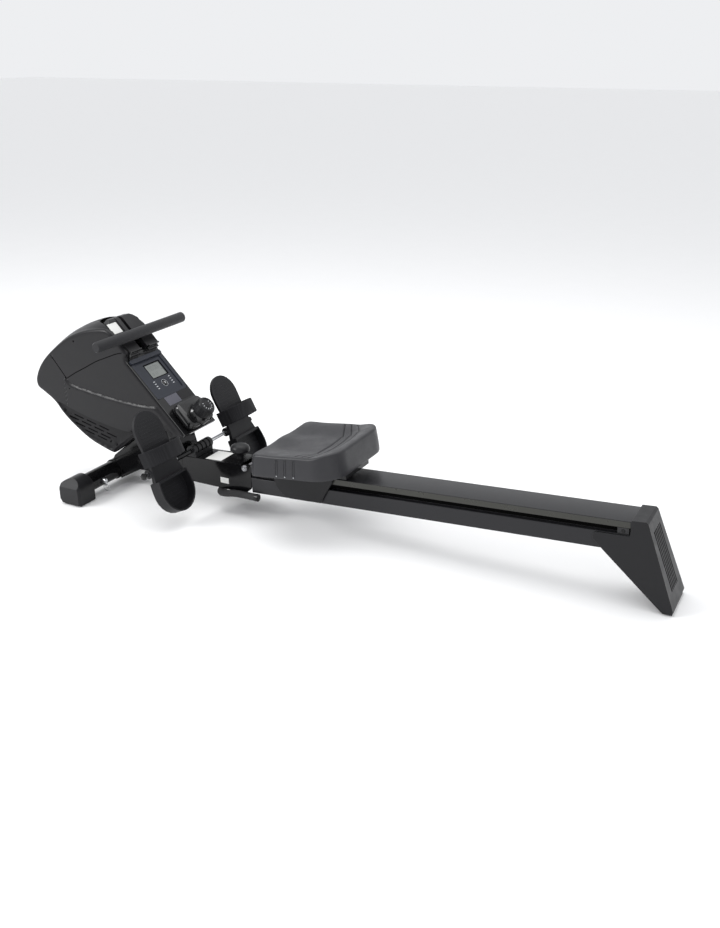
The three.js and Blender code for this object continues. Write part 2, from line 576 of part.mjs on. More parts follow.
function makePedals() {
  const { x, z, lean, inner, width, bed, cup } = PEDAL;
  addMesh(machine, 'pedal_axle', rodY(6, -281, 281, 16), MAT.steel, x, 0, z);
  const sleeve = join(...[0, 1, 2, 3, 4].map((i) => ringY(6.3, 17, -47 + i * 20, -47 + i * 20 + 14, 16)),
    ringY(6.3, 13, -47, 47, 16));
  const footBottom = beamTop(x + 16) + GAP - z;
  const foot = cut(box(-16, 16, -44, 44, footBottom, -8), rodY(12, -60, 60, 20));
  addMesh(machine, 'axle_sleeve', join(sleeve, foot), MAT.plastic, x, 0, z);
  for (const [word, sign] of SIDES) {
    const group = new THREE.Group();
    group.position.set(x, sign * (inner + width / 2), z);
    // local +X runs from heel to toe, local -Z faces the user; the right pedal rests a little further back
    group.rotation.y = -(90 + lean + (sign > 0 ? 3 : 0)) * DEG;
    machine.add(group);
    const fine = { curveSegments: 6 };
    const toePad = plan(footOutline(0), bed - 14, bed - 5, fine).intersect(box(-40, 200, -100, 100, -50, 80));
    const heelCup = plan(footOutline(0), bed - cup, bed + 6, fine)
      .intersect(box(-200, -30, -100, 100, -50, 80));
    const pan = plan(footOutline(5), bed - cup + 8, bed + 20, fine)
      .intersect(box(-200, -38, -100, 100, -50, 80));
    const ramp = side([[-38.5, bed - cup], [-24, bed - cup + 4], [6, bed - 14.5], [6, bed - 5], [-24, bed - 5],
      [-38.5, bed - cup + 8]], -width / 2 + 14, width / 2 - 14);
    const sole = join(toePad, cut(heelCup, pan), ramp, rodY(14, -width / 2 + 12, width / 2 - 12, 18));
    const pedal = cut(sole, rodY(6.3, -100, 100, 16)).mirror([0, 0, 1]);
    addMesh(group, `pedal_${word}`, pedal, MAT.plastic);
    // Hook-and-loop strap over the ball of the foot.
    const strapAt = 42;
    const w = width / 2;
    const arch = new THREE.Shape();
    arch.moveTo(-w - 3.4, bed - 16);
    arch.bezierCurveTo(-w - 2, bed + 40, -w + 26, bed + 52, 0, bed + 53);
    arch.bezierCurveTo(w - 26, bed + 52, w + 2, bed + 40, w + 3.4, bed - 16);
    arch.lineTo(w + 0.8, bed - 16);
    arch.bezierCurveTo(w - 1, bed + 38, w - 28, bed + 49, 0, bed + 50);
    arch.bezierCurveTo(-w + 28, bed + 49, -w + 1, bed + 38, -w - 0.8, bed - 16);
    const strap = section(arch, strapAt - 24, strapAt + 24).mirror([0, 0, 1]);
    addMesh(group, `pedal_strap_${word}`, strap, MAT.webbing);
    const nut = ringY(7.3, 11, 270, 280, 6);
    addMesh(machine, `axle_nut_${word}`, sign < 0 ? nut.mirror([0, 1, 0]) : nut, MAT.steelBlack, x, 0, z);
  }
}

// ---------------------------------------------------------------- small parts on the frame
function makeLocks() {
  const pinX = STABILIZER.x + STABILIZER.radius;
  const pinY = LOCK_Y;
  const lug = cut(box(10, 12.4, -4, 4, -17, 0), toX(rodY(2.4, 0, 20, 12)).translate([0, 0, -12.5]));
  const shank = toX(turned([[0, -12], [4, -12], [4, 1], [7, 1], [7, 11], [4, 12], [4, 15], [0, 15]], 14));
  const pin = join(shank, lug);
  addMesh(machine, 'lock_pin', pin, MAT.steel, pinX, pinY, STABILIZER.z);
  const ring = solid(new THREE.TorusGeometry(11, 1.2, 6, 20)).rotate([90, 0, 0]);
  addMesh(machine, 'lock_pin_ring', ring, MAT.steel, pinX + 11.2, pinY, STABILIZER.z - 23.5);

  const knobZ = beamTop(FOLD_KNOB.x) + 0.6;
  const knob = toZ(turned([[0, -14], [4.5, -14], [4.5, 0], [11, 0], [11, 20], [24, 23], [30, 31], [28, 40],
    [16, 48], [0, 50]], 24));
  addMesh(machine, 'fold_knob', knob, MAT.plastic, FOLD_KNOB.x, 0, knobZ);

  const bolt = turned([[0, -52], [8, -52], [10, -50], [10, -45.5], [5.9, -45.5], [5.9, 45.5], [10, 45.5],
    [10, 52], [0, 52]], 20);
  addMesh(machine, 'fold_pivot_bolt', bolt, MAT.steel, PIVOT.x, 0, PIVOT.z);
}

// ---------------------------------------------------------------- rail
function railSection(shrink) {
  const h = RAIL.width / 2 - shrink;
  const g = RAIL.width / 2 - RAIL.grooveDepth - shrink;
  const top = -shrink;
  const g1 = -RAIL.grooveTop + shrink;
  const g2 = -RAIL.grooveBottom - shrink;
  const low = -RAIL.height + shrink;
  return [[-h, low], [h, low], [h, g2], [g, g2], [g, g1], [h, g1], [h, top], [-h, top], [-h, g1], [-g, g1],
    [-g, g2], [-h, g2]];
}

function makeRail() {
  const stops = [['front', -119, -98.5], ['rear', 868, 898]];
  const clampX = -221;
  const grooveZ = -(RAIL.grooveTop + RAIL.grooveBottom) / 2;
  const boltHoles = [...stops.map(([, x0, x1]) => (x0 + x1) / 2), clampX]
    .map((x) => rodY(3.6, -60, 60, 12).translate([x, 0, grooveZ]));
  const rail = cut(
    section(railSection(0), RAIL.front, RAIL.rear),
    section(railSection(RAIL.wall), RAIL.front - 1, RAIL.rear + 1),
    ...boltHoles);
  addMesh(railGroup, 'rail', rail, MAT.rail);

  // Hinge bracket: wide where it sits in the beam, narrow where it is driven into the rail.
  const sine = Math.sin(RAIL.slope);
  const cosine = Math.cos(RAIL.slope);
  const pivotX = PIVOT.x * cosine + (PIVOT.z - RAIL.topAtOrigin) * sine;
  const pivotZ = (PIVOT.z - RAIL.topAtOrigin) * cosine - PIVOT.x * sine;
  const bracket = cut(
    join(
      side([[-300, -10], [-300, -58], [-286, -72], [-233.5, -72], [-233.5, -2], [-250, 1], [-260, -1],
        [-260, -10]], -41, 41),
      box(-240, -150, -32, 32, -70, -18),
      box(-322, -299, -15, 15, -18, -10)),
    side([[-297, -14], [-297, -54], [-284, -69], [-236, -69], [-236, 8], [-268, 8], [-280, -14]], -38, 38),
    box(-262, -140, -29, 29, -67, -21),
    rodY(6.3, -60, 60).translate([pivotX, 0, pivotZ]),
    toZ(rodY(6.2, -40, 40)).translate([FOLD_KNOB.x - 1.5, 0, 0]));
  // A cross bolt clamps the bracket in the rail; its heads show in the grooves.
  const clamp = join(rodY(3.2, -45, 45, 12), rodY(6.5, 36.4, 43, 12), rodY(6.5, -43, -36.4, 12))
    .translate([clampX, 0, grooveZ]);
  addMesh(railGroup, 'rail_hinge_bracket', join(bracket, clamp), MAT.steelBlack);

  // Stop blocks in the grooves, front and rear: each pair is held by one bolt through the rail.
  for (const [word, x0, x1] of stops) {
    const block = (sign) => {
      const y0 = sign < 0 ? -RAIL.width / 2 : RAIL.width / 2 - RAIL.grooveDepth + 0.5;
      return box(x0, x1, y0, y0 + RAIL.grooveDepth - 0.5, -RAIL.grooveBottom + 0.4, -RAIL.grooveTop - 0.4);
    };
    const bolt = rodY(3.2, -46, 46, 12).translate([(x0 + x1) / 2, 0, grooveZ]);
    addMesh(railGroup, `rail_${word}_stop`, join(block(-1), block(1), bolt), MAT.rubber);
  }
}

// ---------------------------------------------------------------- rear foot
function makeFoot() {
  const grow = (FOOT.halfBottom - FOOT.halfTop) / FOOT.top;
  const halfAt = (z) => FOOT.halfBottom - grow * z;
  const flared = (points, inset) => {
    const geometry = sideGeometry(points, -1, 1);
    const place = geometry.attributes.position;
    for (let i = 0; i < place.count; i += 1) {
      place.setY(i, Math.sign(place.getY(i)) * (halfAt(place.getZ(i)) - inset));
    }
    return solid(geometry);
  };
  const pad = 5;
  const outer = flared([[1003, pad], [1029, pad], [FOOT.rear, 14], [944, 231], [938, 236], [902, 233],
    [902, 190.5], [818, 185.5], [809, 178], [810, 166], [838, 141]], 0);
  const railBody = box(760, RAIL.rear + 1.5, -52.4, 52.4, -84.4, 0.4)
    .rotate([0, -RAIL.slope / DEG, 0]).translate([0, 0, RAIL.topAtOrigin]);
  const cavity = flared([[1000, 12], [1019, 12], [1021, 20], [944, 214], [936, 222], [914, 222], [914, 190],
    [855, 150], [880, 116]], 3.5);
  const mouth = side([[1005, 0], [1022, 0], [1022, 30], [1005, 30]], -halfAt(0) + 8, halfAt(0) - 8);
  const slots = [0, 1, 2, 3, 4, 5].map((i) => {
    const y = -30 + i * 12;
    return side([[938, 196], [1002, 44], [1050, 64], [985, 216]], y - 2.6, y + 2.6);
  });
  const foot = cut(outer, railBody, cavity, mouth, ...slots);
  addMesh(machine, 'rear_foot', foot, MAT.plastic);
  addMesh(machine, 'rear_foot_pad', boxGeometry(1003, 1029, -66, 66, 0, pad - GAP), MAT.rubber);
}

// ---------------------------------------------------------------- seat
function makeSeat() {
  const { front, rear, half, base, bottom, rise } = SEAT;
  // Cushion: skirt that flares outwards, crowned top that climbs at its rear rim.
  const ring = (scale, heightAt, round) => {
    const points = [];
    const count = 28;
    for (let i = 0; i < count; i += 1) {
      const angle = 2 * Math.PI * (i + 0.5) / count;
      const c = Math.cos(angle);
      const s = Math.sin(angle);
      const power = 2 / round;
      const px = Math.sign(c) * Math.abs(c) ** power * (rear - front) / 2 * scale + (front + rear) / 2;
      const py = Math.sign(s) * Math.abs(s) ** power * half * scale;
      points.push([px, py, heightAt(px)]);
    }
    return points;
  };
  const climb = (x) => Math.max(0, x / 105) ** 2 * 18;
  const low = (x) => bottom + (x - front) * rise;
  const cushion = loft([
    ring(1, low, 8), ring(1, (x) => low(x) + 8, 8), ring(0.965, (x) => 83 + climb(x), 8),
    ring(0.93, (x) => 90 + climb(x), 8),
  ]);
  addMesh(railGroup, 'seat_cushion', solid(cushion), MAT.seat);

  // Carriage: top plate with two cheeks outside the rail; the cheeks carry the stub axles of the rollers.
  const axleZ = -(RAIL.grooveTop + RAIL.grooveBottom) / 2;
  const rollerPlaces = [['front', -88], ['rear', 12]];
  const cheek = (y0, y1) => side([[-118, 9], [46, 9], [46, -4], [30, -36], [-4, -36], [-16, -12], [-62, -12],
    [-74, -36], [-104, -36], [-118, -4]], y0, y1);
  const stubs = rollerPlaces.flatMap(([, x]) => [rodY(3, -57, -38.5, 12), rodY(3, 38.5, 57, 12)]
    .map((stub) => stub.translate([x, 0, axleZ])));
  const carriage = join(box(-118, 46, -57, 57, 6, 9), box(-100, 30, -50, 50, 8, base - 2),
    side([[-130, base - 4], [104, base - 4], [104, low(104) - 0.5], [-130, low(-130) - 0.5]], -70, 70),
    cheek(54, 57), cheek(-57, -54), ...stubs);
  addMesh(railGroup, 'seat_carriage', carriage, MAT.steelBlack);

  const guardShape = new THREE.Shape();
  guardShape.moveTo(-150, 9);
  guardShape.bezierCurveTo(-150, -44, -130, -74, -96, -80);
  guardShape.lineTo(8, -80);
  guardShape.lineTo(24, -52);
  guardShape.lineTo(52, -10);
  guardShape.lineTo(52, 9);
  for (const [word, sign] of SIDES) {
    const y0 = sign < 0 ? -60.3 : 57.3;
    addMesh(railGroup, `seat_guard_${word}`, side(guardShape, y0, y0 + 3), MAT.shell);
  }

  const rollerRadius = (RAIL.grooveBottom - RAIL.grooveTop) / 2 - 0.6;
  for (const [place, x] of rollerPlaces) {
    for (const [word, sign] of SIDES) {
      const wheel = ringY(3.4, rollerRadius, sign < 0 ? -49 : 38, sign < 0 ? -38 : 49, 18);
      addMesh(railGroup, `seat_roller_${place}_${word}`, wheel, MAT.rubber, x, 0, axleZ);
    }
  }
}

makeStabilizer();
makeFrame();
makeHousing();
makePanel();
makeDrive();
makeHandle();
makePedals();
makeLocks();
makeRail();
makeFoot();
makeSeat();

export default machine;
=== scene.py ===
"""Folding magnetic rowing machine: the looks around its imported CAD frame."""

import json
import math

import bmesh
import bpy
import numpy as np
from mathutils import Matrix, Vector
from mathutils.geometry import delaunay_2d_cdt


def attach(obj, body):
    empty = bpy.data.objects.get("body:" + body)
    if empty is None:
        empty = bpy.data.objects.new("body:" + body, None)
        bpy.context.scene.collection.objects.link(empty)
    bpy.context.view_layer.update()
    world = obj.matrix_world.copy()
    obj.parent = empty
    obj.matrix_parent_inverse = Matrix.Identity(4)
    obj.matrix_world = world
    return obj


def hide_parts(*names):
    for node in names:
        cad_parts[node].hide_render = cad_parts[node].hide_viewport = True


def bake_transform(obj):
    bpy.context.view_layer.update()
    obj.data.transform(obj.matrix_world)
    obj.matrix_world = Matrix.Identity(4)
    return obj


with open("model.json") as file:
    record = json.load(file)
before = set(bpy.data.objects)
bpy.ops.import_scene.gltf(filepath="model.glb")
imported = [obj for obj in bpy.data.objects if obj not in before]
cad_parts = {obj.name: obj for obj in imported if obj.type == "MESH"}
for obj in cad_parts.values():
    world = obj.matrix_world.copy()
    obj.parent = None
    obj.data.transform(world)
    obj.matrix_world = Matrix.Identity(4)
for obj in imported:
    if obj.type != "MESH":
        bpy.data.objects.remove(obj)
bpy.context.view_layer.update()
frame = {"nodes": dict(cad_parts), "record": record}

MM = 0.001
RAIL_SLOPE = math.atan(0.06)            # the rail climbs towards the rear
RAIL_ORIGIN = Vector((0, 0, 0.1741))    # top of the rail above the frame's origin
PANEL_TILT = math.radians(45)           # the console face
PANEL_ORIGIN = Vector((-0.596, 0, 0.379))
PEDAL_AXLE = Vector((-0.452, 0, 0.168))
PEDAL_Y = 0.198
PEDAL_LEAN = {"left": math.radians(25), "right": math.radians(28)}

RAIL_FRAME = Matrix.Translation(RAIL_ORIGIN) @ Matrix.Rotation(-RAIL_SLOPE, 4, "Y")
PANEL_FRAME = Matrix.Translation(PANEL_ORIGIN) @ Matrix.Rotation(PANEL_TILT, 4, "Y")


# ---------------------------------------------------------------- camera, light and floor
def make_stage():
    camera_data = bpy.data.cameras.new("camera")
    camera_data.lens = 39.87
    camera = bpy.data.objects.new("camera", camera_data)
    camera.location = (1.3702, -2.4165, 1.3383)
    camera.rotation_euler = (math.radians(90 - 22.4), 0, math.radians(27.53))
    bpy.context.scene.collection.objects.link(camera)
    bpy.context.scene.camera = camera

    world = bpy.data.worlds.new("studio")
    world.use_nodes = True
    background = world.node_tree.nodes["Background"]
    background.inputs["Color"].default_value = (0.97, 0.98, 1.0, 1)
    background.inputs["Strength"].default_value = 0.88
    bpy.context.scene.world = world
    bpy.context.scene.view_settings.view_transform = "Standard"

    def softbox(name, place, aim, size, power):
        light = bpy.data.lights.new(name, "AREA")
        light.shape = "RECTANGLE"
        light.size, light.size_y = size
        light.energy = power
        lamp = bpy.data.objects.new(name, light)
        lamp.location = place
        lamp.rotation_euler = (Vector(aim) - Vector(place)).to_track_quat("-Z", "Y").to_euler()
        bpy.context.scene.collection.objects.link(lamp)

    softbox("overhead", (-0.2, 0.5, 2.9), (0, 0, 0.2), (3.4, 2.2), 46)
    softbox("key", (-2.6, -2.2, 2.3), (-0.4, 0, 0.3), (1.3, 1.3), 80)
    softbox("fill", (2.6, -2.4, 1.2), (0.1, 0, 0.2), (2.0, 1.4), 8)

    mesh = bpy.data.meshes.new("floor")
    reach = 30
    mesh.from_pydata([(-reach, -reach, 0), (reach, -reach, 0), (reach, reach, 0), (-reach, reach, 0)], [],
            [(0, 1, 2, 3)])
    floor = bpy.data.objects.new("floor", mesh)
    floor.location.z = -0.0003
    bpy.context.scene.collection.objects.link(floor)
    floor.data.materials.append(surface("floor_paint", (0.93, 0.93, 0.93), 0.6, grain=(6, 0.02),
            variation=0.01))


# ---------------------------------------------------------------- materials
class Tree:
    """A new node material with short calls to add and link its nodes."""

    def __init__(self, name):
        self.material = bpy.data.materials.new(name)
        self.material.use_nodes = True
        self.nodes = self.material.node_tree.nodes
        self.links = self.material.node_tree.links
        self.shader = self.nodes["Principled BSDF"]

    def add(self, kind, inputs=None, **settings):
        node = self.nodes.new(kind)
        for key, value in settings.items():
            setattr(node, key, value)
        for key, value in (inputs or {}).items():
            if isinstance(value, bpy.types.NodeSocket):
                self.links.new(value, node.inputs[key])
            else:
                node.inputs[key].default_value = value
        return node

    def place(self, stretch=(1, 1, 1), turn=(0, 0, 0)):
        where = self.add("ShaderNodeTexCoord").outputs["Object"]
        return self.add("ShaderNodeMapping",
                {"Vector": where, "Rotation": turn, "Scale": stretch}).outputs[0]

    def noise(self, scale, detail=3.0, stretch=(1, 1, 1)):
        return self.add("ShaderNodeTexNoise",
                {"Vector": self.place(stretch), "Scale": scale, "Detail": detail}).outputs["Fac"]

    def spread(self, value, low, high, start=0.3, end=0.7):
        return self.add("ShaderNodeMapRange",
                {"Value": value, "From Min": start, "From Max": end, "To Min": low,
                "To Max": high}).outputs[0]

    def math(self, operation, a, b=0.0):
        return self.add("ShaderNodeMath", {0: a, 1: b}, operation=operation).outputs[0]

    def tint(self, factor, dark, light):
        mix = self.add("ShaderNodeMix", {0: factor}, data_type="RGBA")
        mix.inputs[6].default_value = (*dark, 1)
        mix.inputs[7].default_value = (*light, 1)
        return mix.outputs[2]

    def bump(self, height, strength, distance, below=None):
        inputs = {"Height": height, "Strength": strength, "Distance": distance}
        if below is not None:
            inputs["Normal"] = below
        return self.add("ShaderNodeBump", inputs).outputs[0]

    def finish(self, **sockets):
        for key, value in sockets.items():
            socket = self.shader.inputs[key.replace("_", " ")]
            if isinstance(value, bpy.types.NodeSocket):
                self.links.new(value, socket)
            else:
                socket.default_value = value
        return self.material


def scaled(color, factor):
    return tuple(min(c * factor, 1) for c in color)


def surface(name, color, roughness, grain=(900, 0.12), variation=0.08, spread=0.05, edge_paling=0.0, shine=0.5,
        **sockets):
    """Moulded or painted surface: cloudy colour, uneven gloss, fine grain and sharp edges paled in noisy
    patches.
    """
    tree = Tree(name)
    cloud = tree.noise(7, 4)
    base = tree.tint(cloud, scaled(color, 1 - variation), scaled(color, 1 + variation))
    if edge_paling:
        edge = tree.add("ShaderNodeNewGeometry").outputs["Pointiness"]
        paling_mask = tree.math("MULTIPLY", tree.spread(edge, 0, edge_paling, 0.52, 0.6),
                tree.spread(tree.noise(55, 5), 0, 1, 0.4, 0.7))
        mix = tree.add("ShaderNodeMix", {0: paling_mask, 6: base}, data_type="RGBA")
        mix.inputs[7].default_value = (*scaled(color, 2.6), 1)
        base = mix.outputs[2]
    gloss = tree.spread(tree.noise(38, 5), roughness - spread, roughness + spread)
    scale, strength = grain
    normal = tree.bump(tree.noise(scale, 2), strength, 0.0004)
    return tree.finish(Base_Color=base, Roughness=gloss, Normal=normal, Specular_IOR_Level=shine, **sockets)


def brushed(name, color, roughness):
    tree = Tree(name)
    streak = tree.noise(26, 4, (1, 40, 40))
    base = tree.tint(tree.noise(30, 4), scaled(color, 0.86), scaled(color, 1.06))
    return tree.finish(Base_Color=base, Metallic=1.0,
            Roughness=tree.spread(streak, roughness - 0.08, roughness + 0.1),
            Normal=tree.bump(streak, 0.08, 0.0003))


def woven(name, color, turn):
    """Webbing: ribs across each other in a fine twill."""
    tree = Tree(name)
    where = tree.place(turn=turn)
    ribs = [tree.add("ShaderNodeTexWave", {"Vector": where, "Scale": 520 / 6, "Distortion": 0.6,
            "Detail": 1.0}, wave_type="BANDS", bands_direction=axis).outputs["Fac"] for axis in "XYZ"]
    weave = tree.math("MULTIPLY", tree.math("MAXIMUM", ribs[0], ribs[2]),
            tree.spread(ribs[1], 0.55, 1, 0, 1))
    fuzz = tree.noise(1500, 2)
    base = tree.tint(tree.math("MULTIPLY", weave, tree.spread(fuzz, 0.8, 1.1)), scaled(color, 0.5),
            scaled(color, 1.6))
    normal = tree.bump(fuzz, 0.2, 0.0002, tree.bump(weave, 0.45, 0.0005))
    return tree.finish(Base_Color=base, Roughness=0.88, Normal=normal, Specular_IOR_Level=0.2,
            Sheen_Weight=0.06, Sheen_Roughness=0.5)


def grained_skin(name, color):
    """Self-skinned foam of the seat: shallow leather grain with a soft sheen."""
    tree = Tree(name)
    cells = tree.add("ShaderNodeTexVoronoi", {"Vector": tree.place(), "Scale": 560.0},
            feature="DISTANCE_TO_EDGE")
    creases = tree.spread(cells.outputs["Distance"], 0, 1, 0.0, 0.16)
    base = tree.tint(tree.noise(9, 5), scaled(color, 0.9), scaled(color, 1.1))
    normal = tree.bump(tree.noise(240, 3), 0.1, 0.0006, tree.bump(creases, 0.16, 0.0003))
    return tree.finish(Base_Color=base, Roughness=tree.spread(tree.noise(34, 5), 0.34, 0.46), Normal=normal,
            Specular_IOR_Level=0.34, Sheen_Weight=0.04, Sheen_Roughness=0.4)


def foam(name, color):
    tree = Tree(name)
    pores = tree.add("ShaderNodeTexVoronoi", {"Vector": tree.place(), "Scale": 1100.0}, feature="F1")
    holes = tree.spread(pores.outputs["Distance"], 0, 1, 0.1, 0.6)
    base = tree.tint(tree.math("MULTIPLY", holes, tree.spread(tree.noise(20, 4), 0.85, 1.1)),
            scaled(color, 0.6), scaled(color, 1.15))
    return tree.finish(Base_Color=base, Roughness=0.66, Normal=tree.bump(holes, 0.3, 0.0004),
            Specular_IOR_Level=0.26, Sheen_Weight=0.04, Sheen_Roughness=0.5)


def make_materials():
    charcoal = (0.009, 0.0088, 0.0100)
    return {"shell": surface("shell_plastic", charcoal, 0.34, grain=(1000, 0.10), shine=0.24),
            # vent zone: the shell colour darkened 0.8 times as painted shade, and rougher
            "recess_shade": surface("shell_painted_shade", scaled(charcoal, 0.8), 0.42, grain=(1000, 0.12), shine=0.18),
            "spine": surface("spine_plastic", scaled(charcoal, 1.1), 0.36, grain=(1000, 0.10), shine=0.3),
            "gloss": surface("gloss_plastic", (0.006, 0.006, 0.0065), 0.14, grain=(60, 0.02), spread=0.04),
            "moulded": surface("moulded_plastic", (0.010, 0.010, 0.0112), 0.38, grain=(1200, 0.12),
            edge_paling=0.15, shine=0.26), "pedal": surface("pedal_plastic", (0.009, 0.009, 0.0105), 0.44,
            grain=(700, 0.2), edge_paling=0.1, shine=0.24),
            "console": surface("console_plastic", (0.017, 0.020, 0.029), 0.36, grain=(1200, 0.08), edge_paling=0.1,
            shine=0.3), "display": surface("display_glass", (0.20, 0.213, 0.205), 0.2, grain=(300, 0.01),
            variation=0.05), "segments": surface("display_segments", (0.07, 0.08, 0.075), 0.3,
            grain=(300, 0.01)), "paint": surface("black_paint", (0.004, 0.004, 0.0045), 0.16,
            grain=(420, 0.05), edge_paling=0.06, Coat_Weight=0.12, Coat_Roughness=0.1, shine=0.24),
            "rail": surface("rail_paint", (0.018, 0.018, 0.020), 0.3, grain=(1400, 0.08), spread=0.02,
            shine=0.34, Metallic=0.25), "strip": surface("running_strip", (0.040, 0.040, 0.035), 0.3,
            grain=(900, 0.06), Metallic=0.4), "zinc": brushed("zinc_steel", (0.66, 0.67, 0.69), 0.24),
            "iron": brushed("bare_iron", (0.22, 0.22, 0.23), 0.4),
            "rubber": surface("black_rubber", (0.017, 0.017, 0.018), 0.7, grain=(1600, 0.25)),
            # groove: near-black painted shade for seams, slots, channels, groove backs, display rims and
            # hollows
            "groove": surface("painted_shade_dark", (0.003, 0.003, 0.003), 0.9, grain=(400, 0.1), shine=0.05),
            "foam": foam("grip_foam", (0.019, 0.019, 0.021)),
            "seat": grained_skin("seat_skin", (0.021, 0.021, 0.024)),
            "webbing": woven("strap_webbing", (0.011, 0.011, 0.0125), (0, math.radians(25), 0)),
            "label": surface("blank_label", (0.72, 0.72, 0.70), 0.4, grain=(200, 0.02), variation=0.03),
            "plate": surface("grey_plate", (0.07, 0.07, 0.09), 0.3, grain=(200, 0.02), variation=0.05),
            "mark": surface("printed_mark", (0.55, 0.56, 0.58), 0.5, grain=(200, 0.02), variation=0.04),}


# ---------------------------------------------------------------- pieces
def add_piece(name, vertices, faces, material, body, nodes=(), angle=35, space=None):
    """A mesh object from points in millimetres, in the row frame or in a tilted frame of its own."""
    mesh = bpy.data.meshes.new(name)
    mesh.from_pydata([tuple(c * MM for c in v) for v in vertices], [], [tuple(f) for f in faces])
    if space is not None:
        mesh.transform(space)
    return add_mesh(name, mesh, material, body, nodes, angle)


def add_mesh(name, mesh, material, body, nodes=(), angle=35):
    shade(mesh, angle)
    mesh.materials.clear()
    for m in material if isinstance(material, (list, tuple)) else [material]:
        mesh.materials.append(m)
    obj = bpy.data.objects.new(name, mesh)
    bpy.context.scene.collection.objects.link(obj)
    if body:
        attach(obj, body)
    if nodes:
        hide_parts(*nodes)
    return obj


def shade(mesh, angle):
    mesh.validate()
    mesh.update()
    mesh.polygons.foreach_set("use_smooth", [True] * len(mesh.polygons))
    mesh.set_sharp_from_angle(angle=math.radians(angle))


def bevel(obj, width, segments=2, angle=30):
    mod = obj.modifiers.new("edge", "BEVEL")
    mod.width = width * MM
    mod.segments = segments
    mod.limit_method = "ANGLE"
    mod.angle_limit = math.radians(angle)
    mod.harden_normals = True
    mod.use_clamp_overlap = True
    return obj


def clean_copy(node):
    """The CAD node's surface with its split corners joined and its flat faces merged."""
    source = frame["nodes"][node].data
    bm = bmesh.new()
    bm.from_mesh(source)
    bmesh.ops.remove_doubles(bm, verts=bm.verts, dist=3e-5)
    bmesh.ops.dissolve_limit(bm, angle_limit=math.radians(0.5), verts=bm.verts, edges=bm.edges)
    bm.verts.index_update()
    vertices = [tuple(v.co) for v in bm.verts]
    faces = [[v.index for v in f.verts] for f in bm.faces]
    bm.free()
    mesh = bpy.data.meshes.new("look_" + node)
    mesh.from_pydata(vertices, [], faces)
    return mesh


def body_of(node):
    return next(b for b, members in frame["record"]["behaviour"]["bodies"].items() if node in members)


def facing(centre, axis):
    """A frame at the centre, in millimetres, with its Z along the axis."""
    turn = Vector((0, 0, 1)).rotation_difference(Vector(axis)).to_matrix().to_4x4()
    return Matrix.Translation(Vector(centre) * MM) @ turn


def polish(node, material, width=0.8, segments=2, angle=30):
    """A look for a CAD node that keeps its shape and rounds its edges."""
    obj = add_mesh("look_" + node, clean_copy(node), material, body_of(node), [node], angle)
    if width:
        bevel(obj, width, segments, angle)
    return obj


def turned(name, profile, centre, axis, material, node, segments=96, angle=35, round_edges=0.0,
        replace=True):
    """A turned piece: pairs of radius and place along the axis, in millimetres from the centre."""
    if round_edges:
        profile = fillet(profile, round_edges)
    vertices, faces, rings = [], [], []
    for radius, along in profile:
        if radius < 1e-6:
            rings.append([len(vertices)])
            vertices.append((0, 0, along))
        else:
            rings.append(list(range(len(vertices), len(vertices) + segments)))
            vertices += [(radius * math.cos(2 * math.pi * i / segments),
                    radius * math.sin(2 * math.pi * i / segments), along) for i in range(segments)]
    for a, b in zip(rings, rings[1:]):
        for i in range(segments):
            j = (i + 1) % segments
            quad = [a[i % len(a)], a[j % len(a)], b[j % len(b)], b[i % len(b)]]
            face = list(dict.fromkeys(quad))
            if len(face) > 2:
                faces.append(face)
    space = facing(centre, axis)
    return add_piece(name, vertices, faces, material, body_of(node),
            [node] if replace else (), angle, space)


def wall(faces, first, rows, count, cyclic=False):
    """Quads between rows of points that each close on themselves."""
    for r in range(rows if cyclic else rows - 1):
        for k in range(count):
            a, b = (first + i % rows * count for i in (r, r + 1))
            faces.append((a + k, a + (k + 1) % count, b + (k + 1) % count, b + k))


def fillet(points, radius, steps=4):
    """The same line with its inner corners rounded."""
    out = [points[0]]
    for a, b, c in zip(points, points[1:], points[2:]):
        a, b, c = Vector(a), Vector(b), Vector(c)
        into, away = (a - b), (c - b)
        if into.length < 1e-6 or away.length < 1e-6 or abs(into.angle(away) - math.pi) < math.radians(8):
            out.append(tuple(b))
            continue
        reach = min(radius, into.length * 0.45, away.length * 0.45)
        start, end = b + into.normalized() * reach, b + away.normalized() * reach
        for i in range(steps + 1):
            t = i / steps
            out.append(tuple(start * (1 - t) ** 2 + b * 2 * t * (1 - t) + end * t * t))
    out.append(points[-1])
    return out


def block(name, sides, material, body, space=None, width=0.5, nodes=()):
    x0, x1, y0, y1, z0, z1 = sides
    v = [(x, y, z) for x in (x0, x1) for y in (y0, y1) for z in (z0, z1)]
    f = [(0, 1, 3, 2), (4, 6, 7, 5), (0, 4, 5, 1), (2, 3, 7, 6), (0, 2, 6, 4), (1, 5, 7, 3)]
    obj = add_piece(name, v, f, material, body, nodes, 35, space)
    return bevel(obj, width, 2) if width else obj


def sweep(name, path, radius, material, body, segments=24, nodes=(), cyclic=False, across=(0, 1, 0)):
    """A round bar along a path of points in millimetres."""
    points = [Vector(p) for p in path]
    vertices, faces = [], []
    count = len(points)
    for i, p in enumerate(points):
        before = points[i - 1] if i or cyclic else points[0]
        after = points[(i + 1) % count] if i + 1 < count or cyclic else points[-1]
        along = (after - before).normalized()
        u = Vector(across)
        u = (u - along * u.dot(along)).normalized()
        w = along.cross(u)
        vertices += [tuple(p + (u * math.cos(a) + w * math.sin(a)) * radius)
                for a in (2 * math.pi * k / segments for k in range(segments))]
    wall(faces, 0, count, segments, cyclic)
    if not cyclic:
        faces.append(tuple(reversed(range(segments))))
        faces.append(tuple(range(len(vertices) - segments, len(vertices))))
    return add_piece(name, vertices, faces, material, body, nodes)


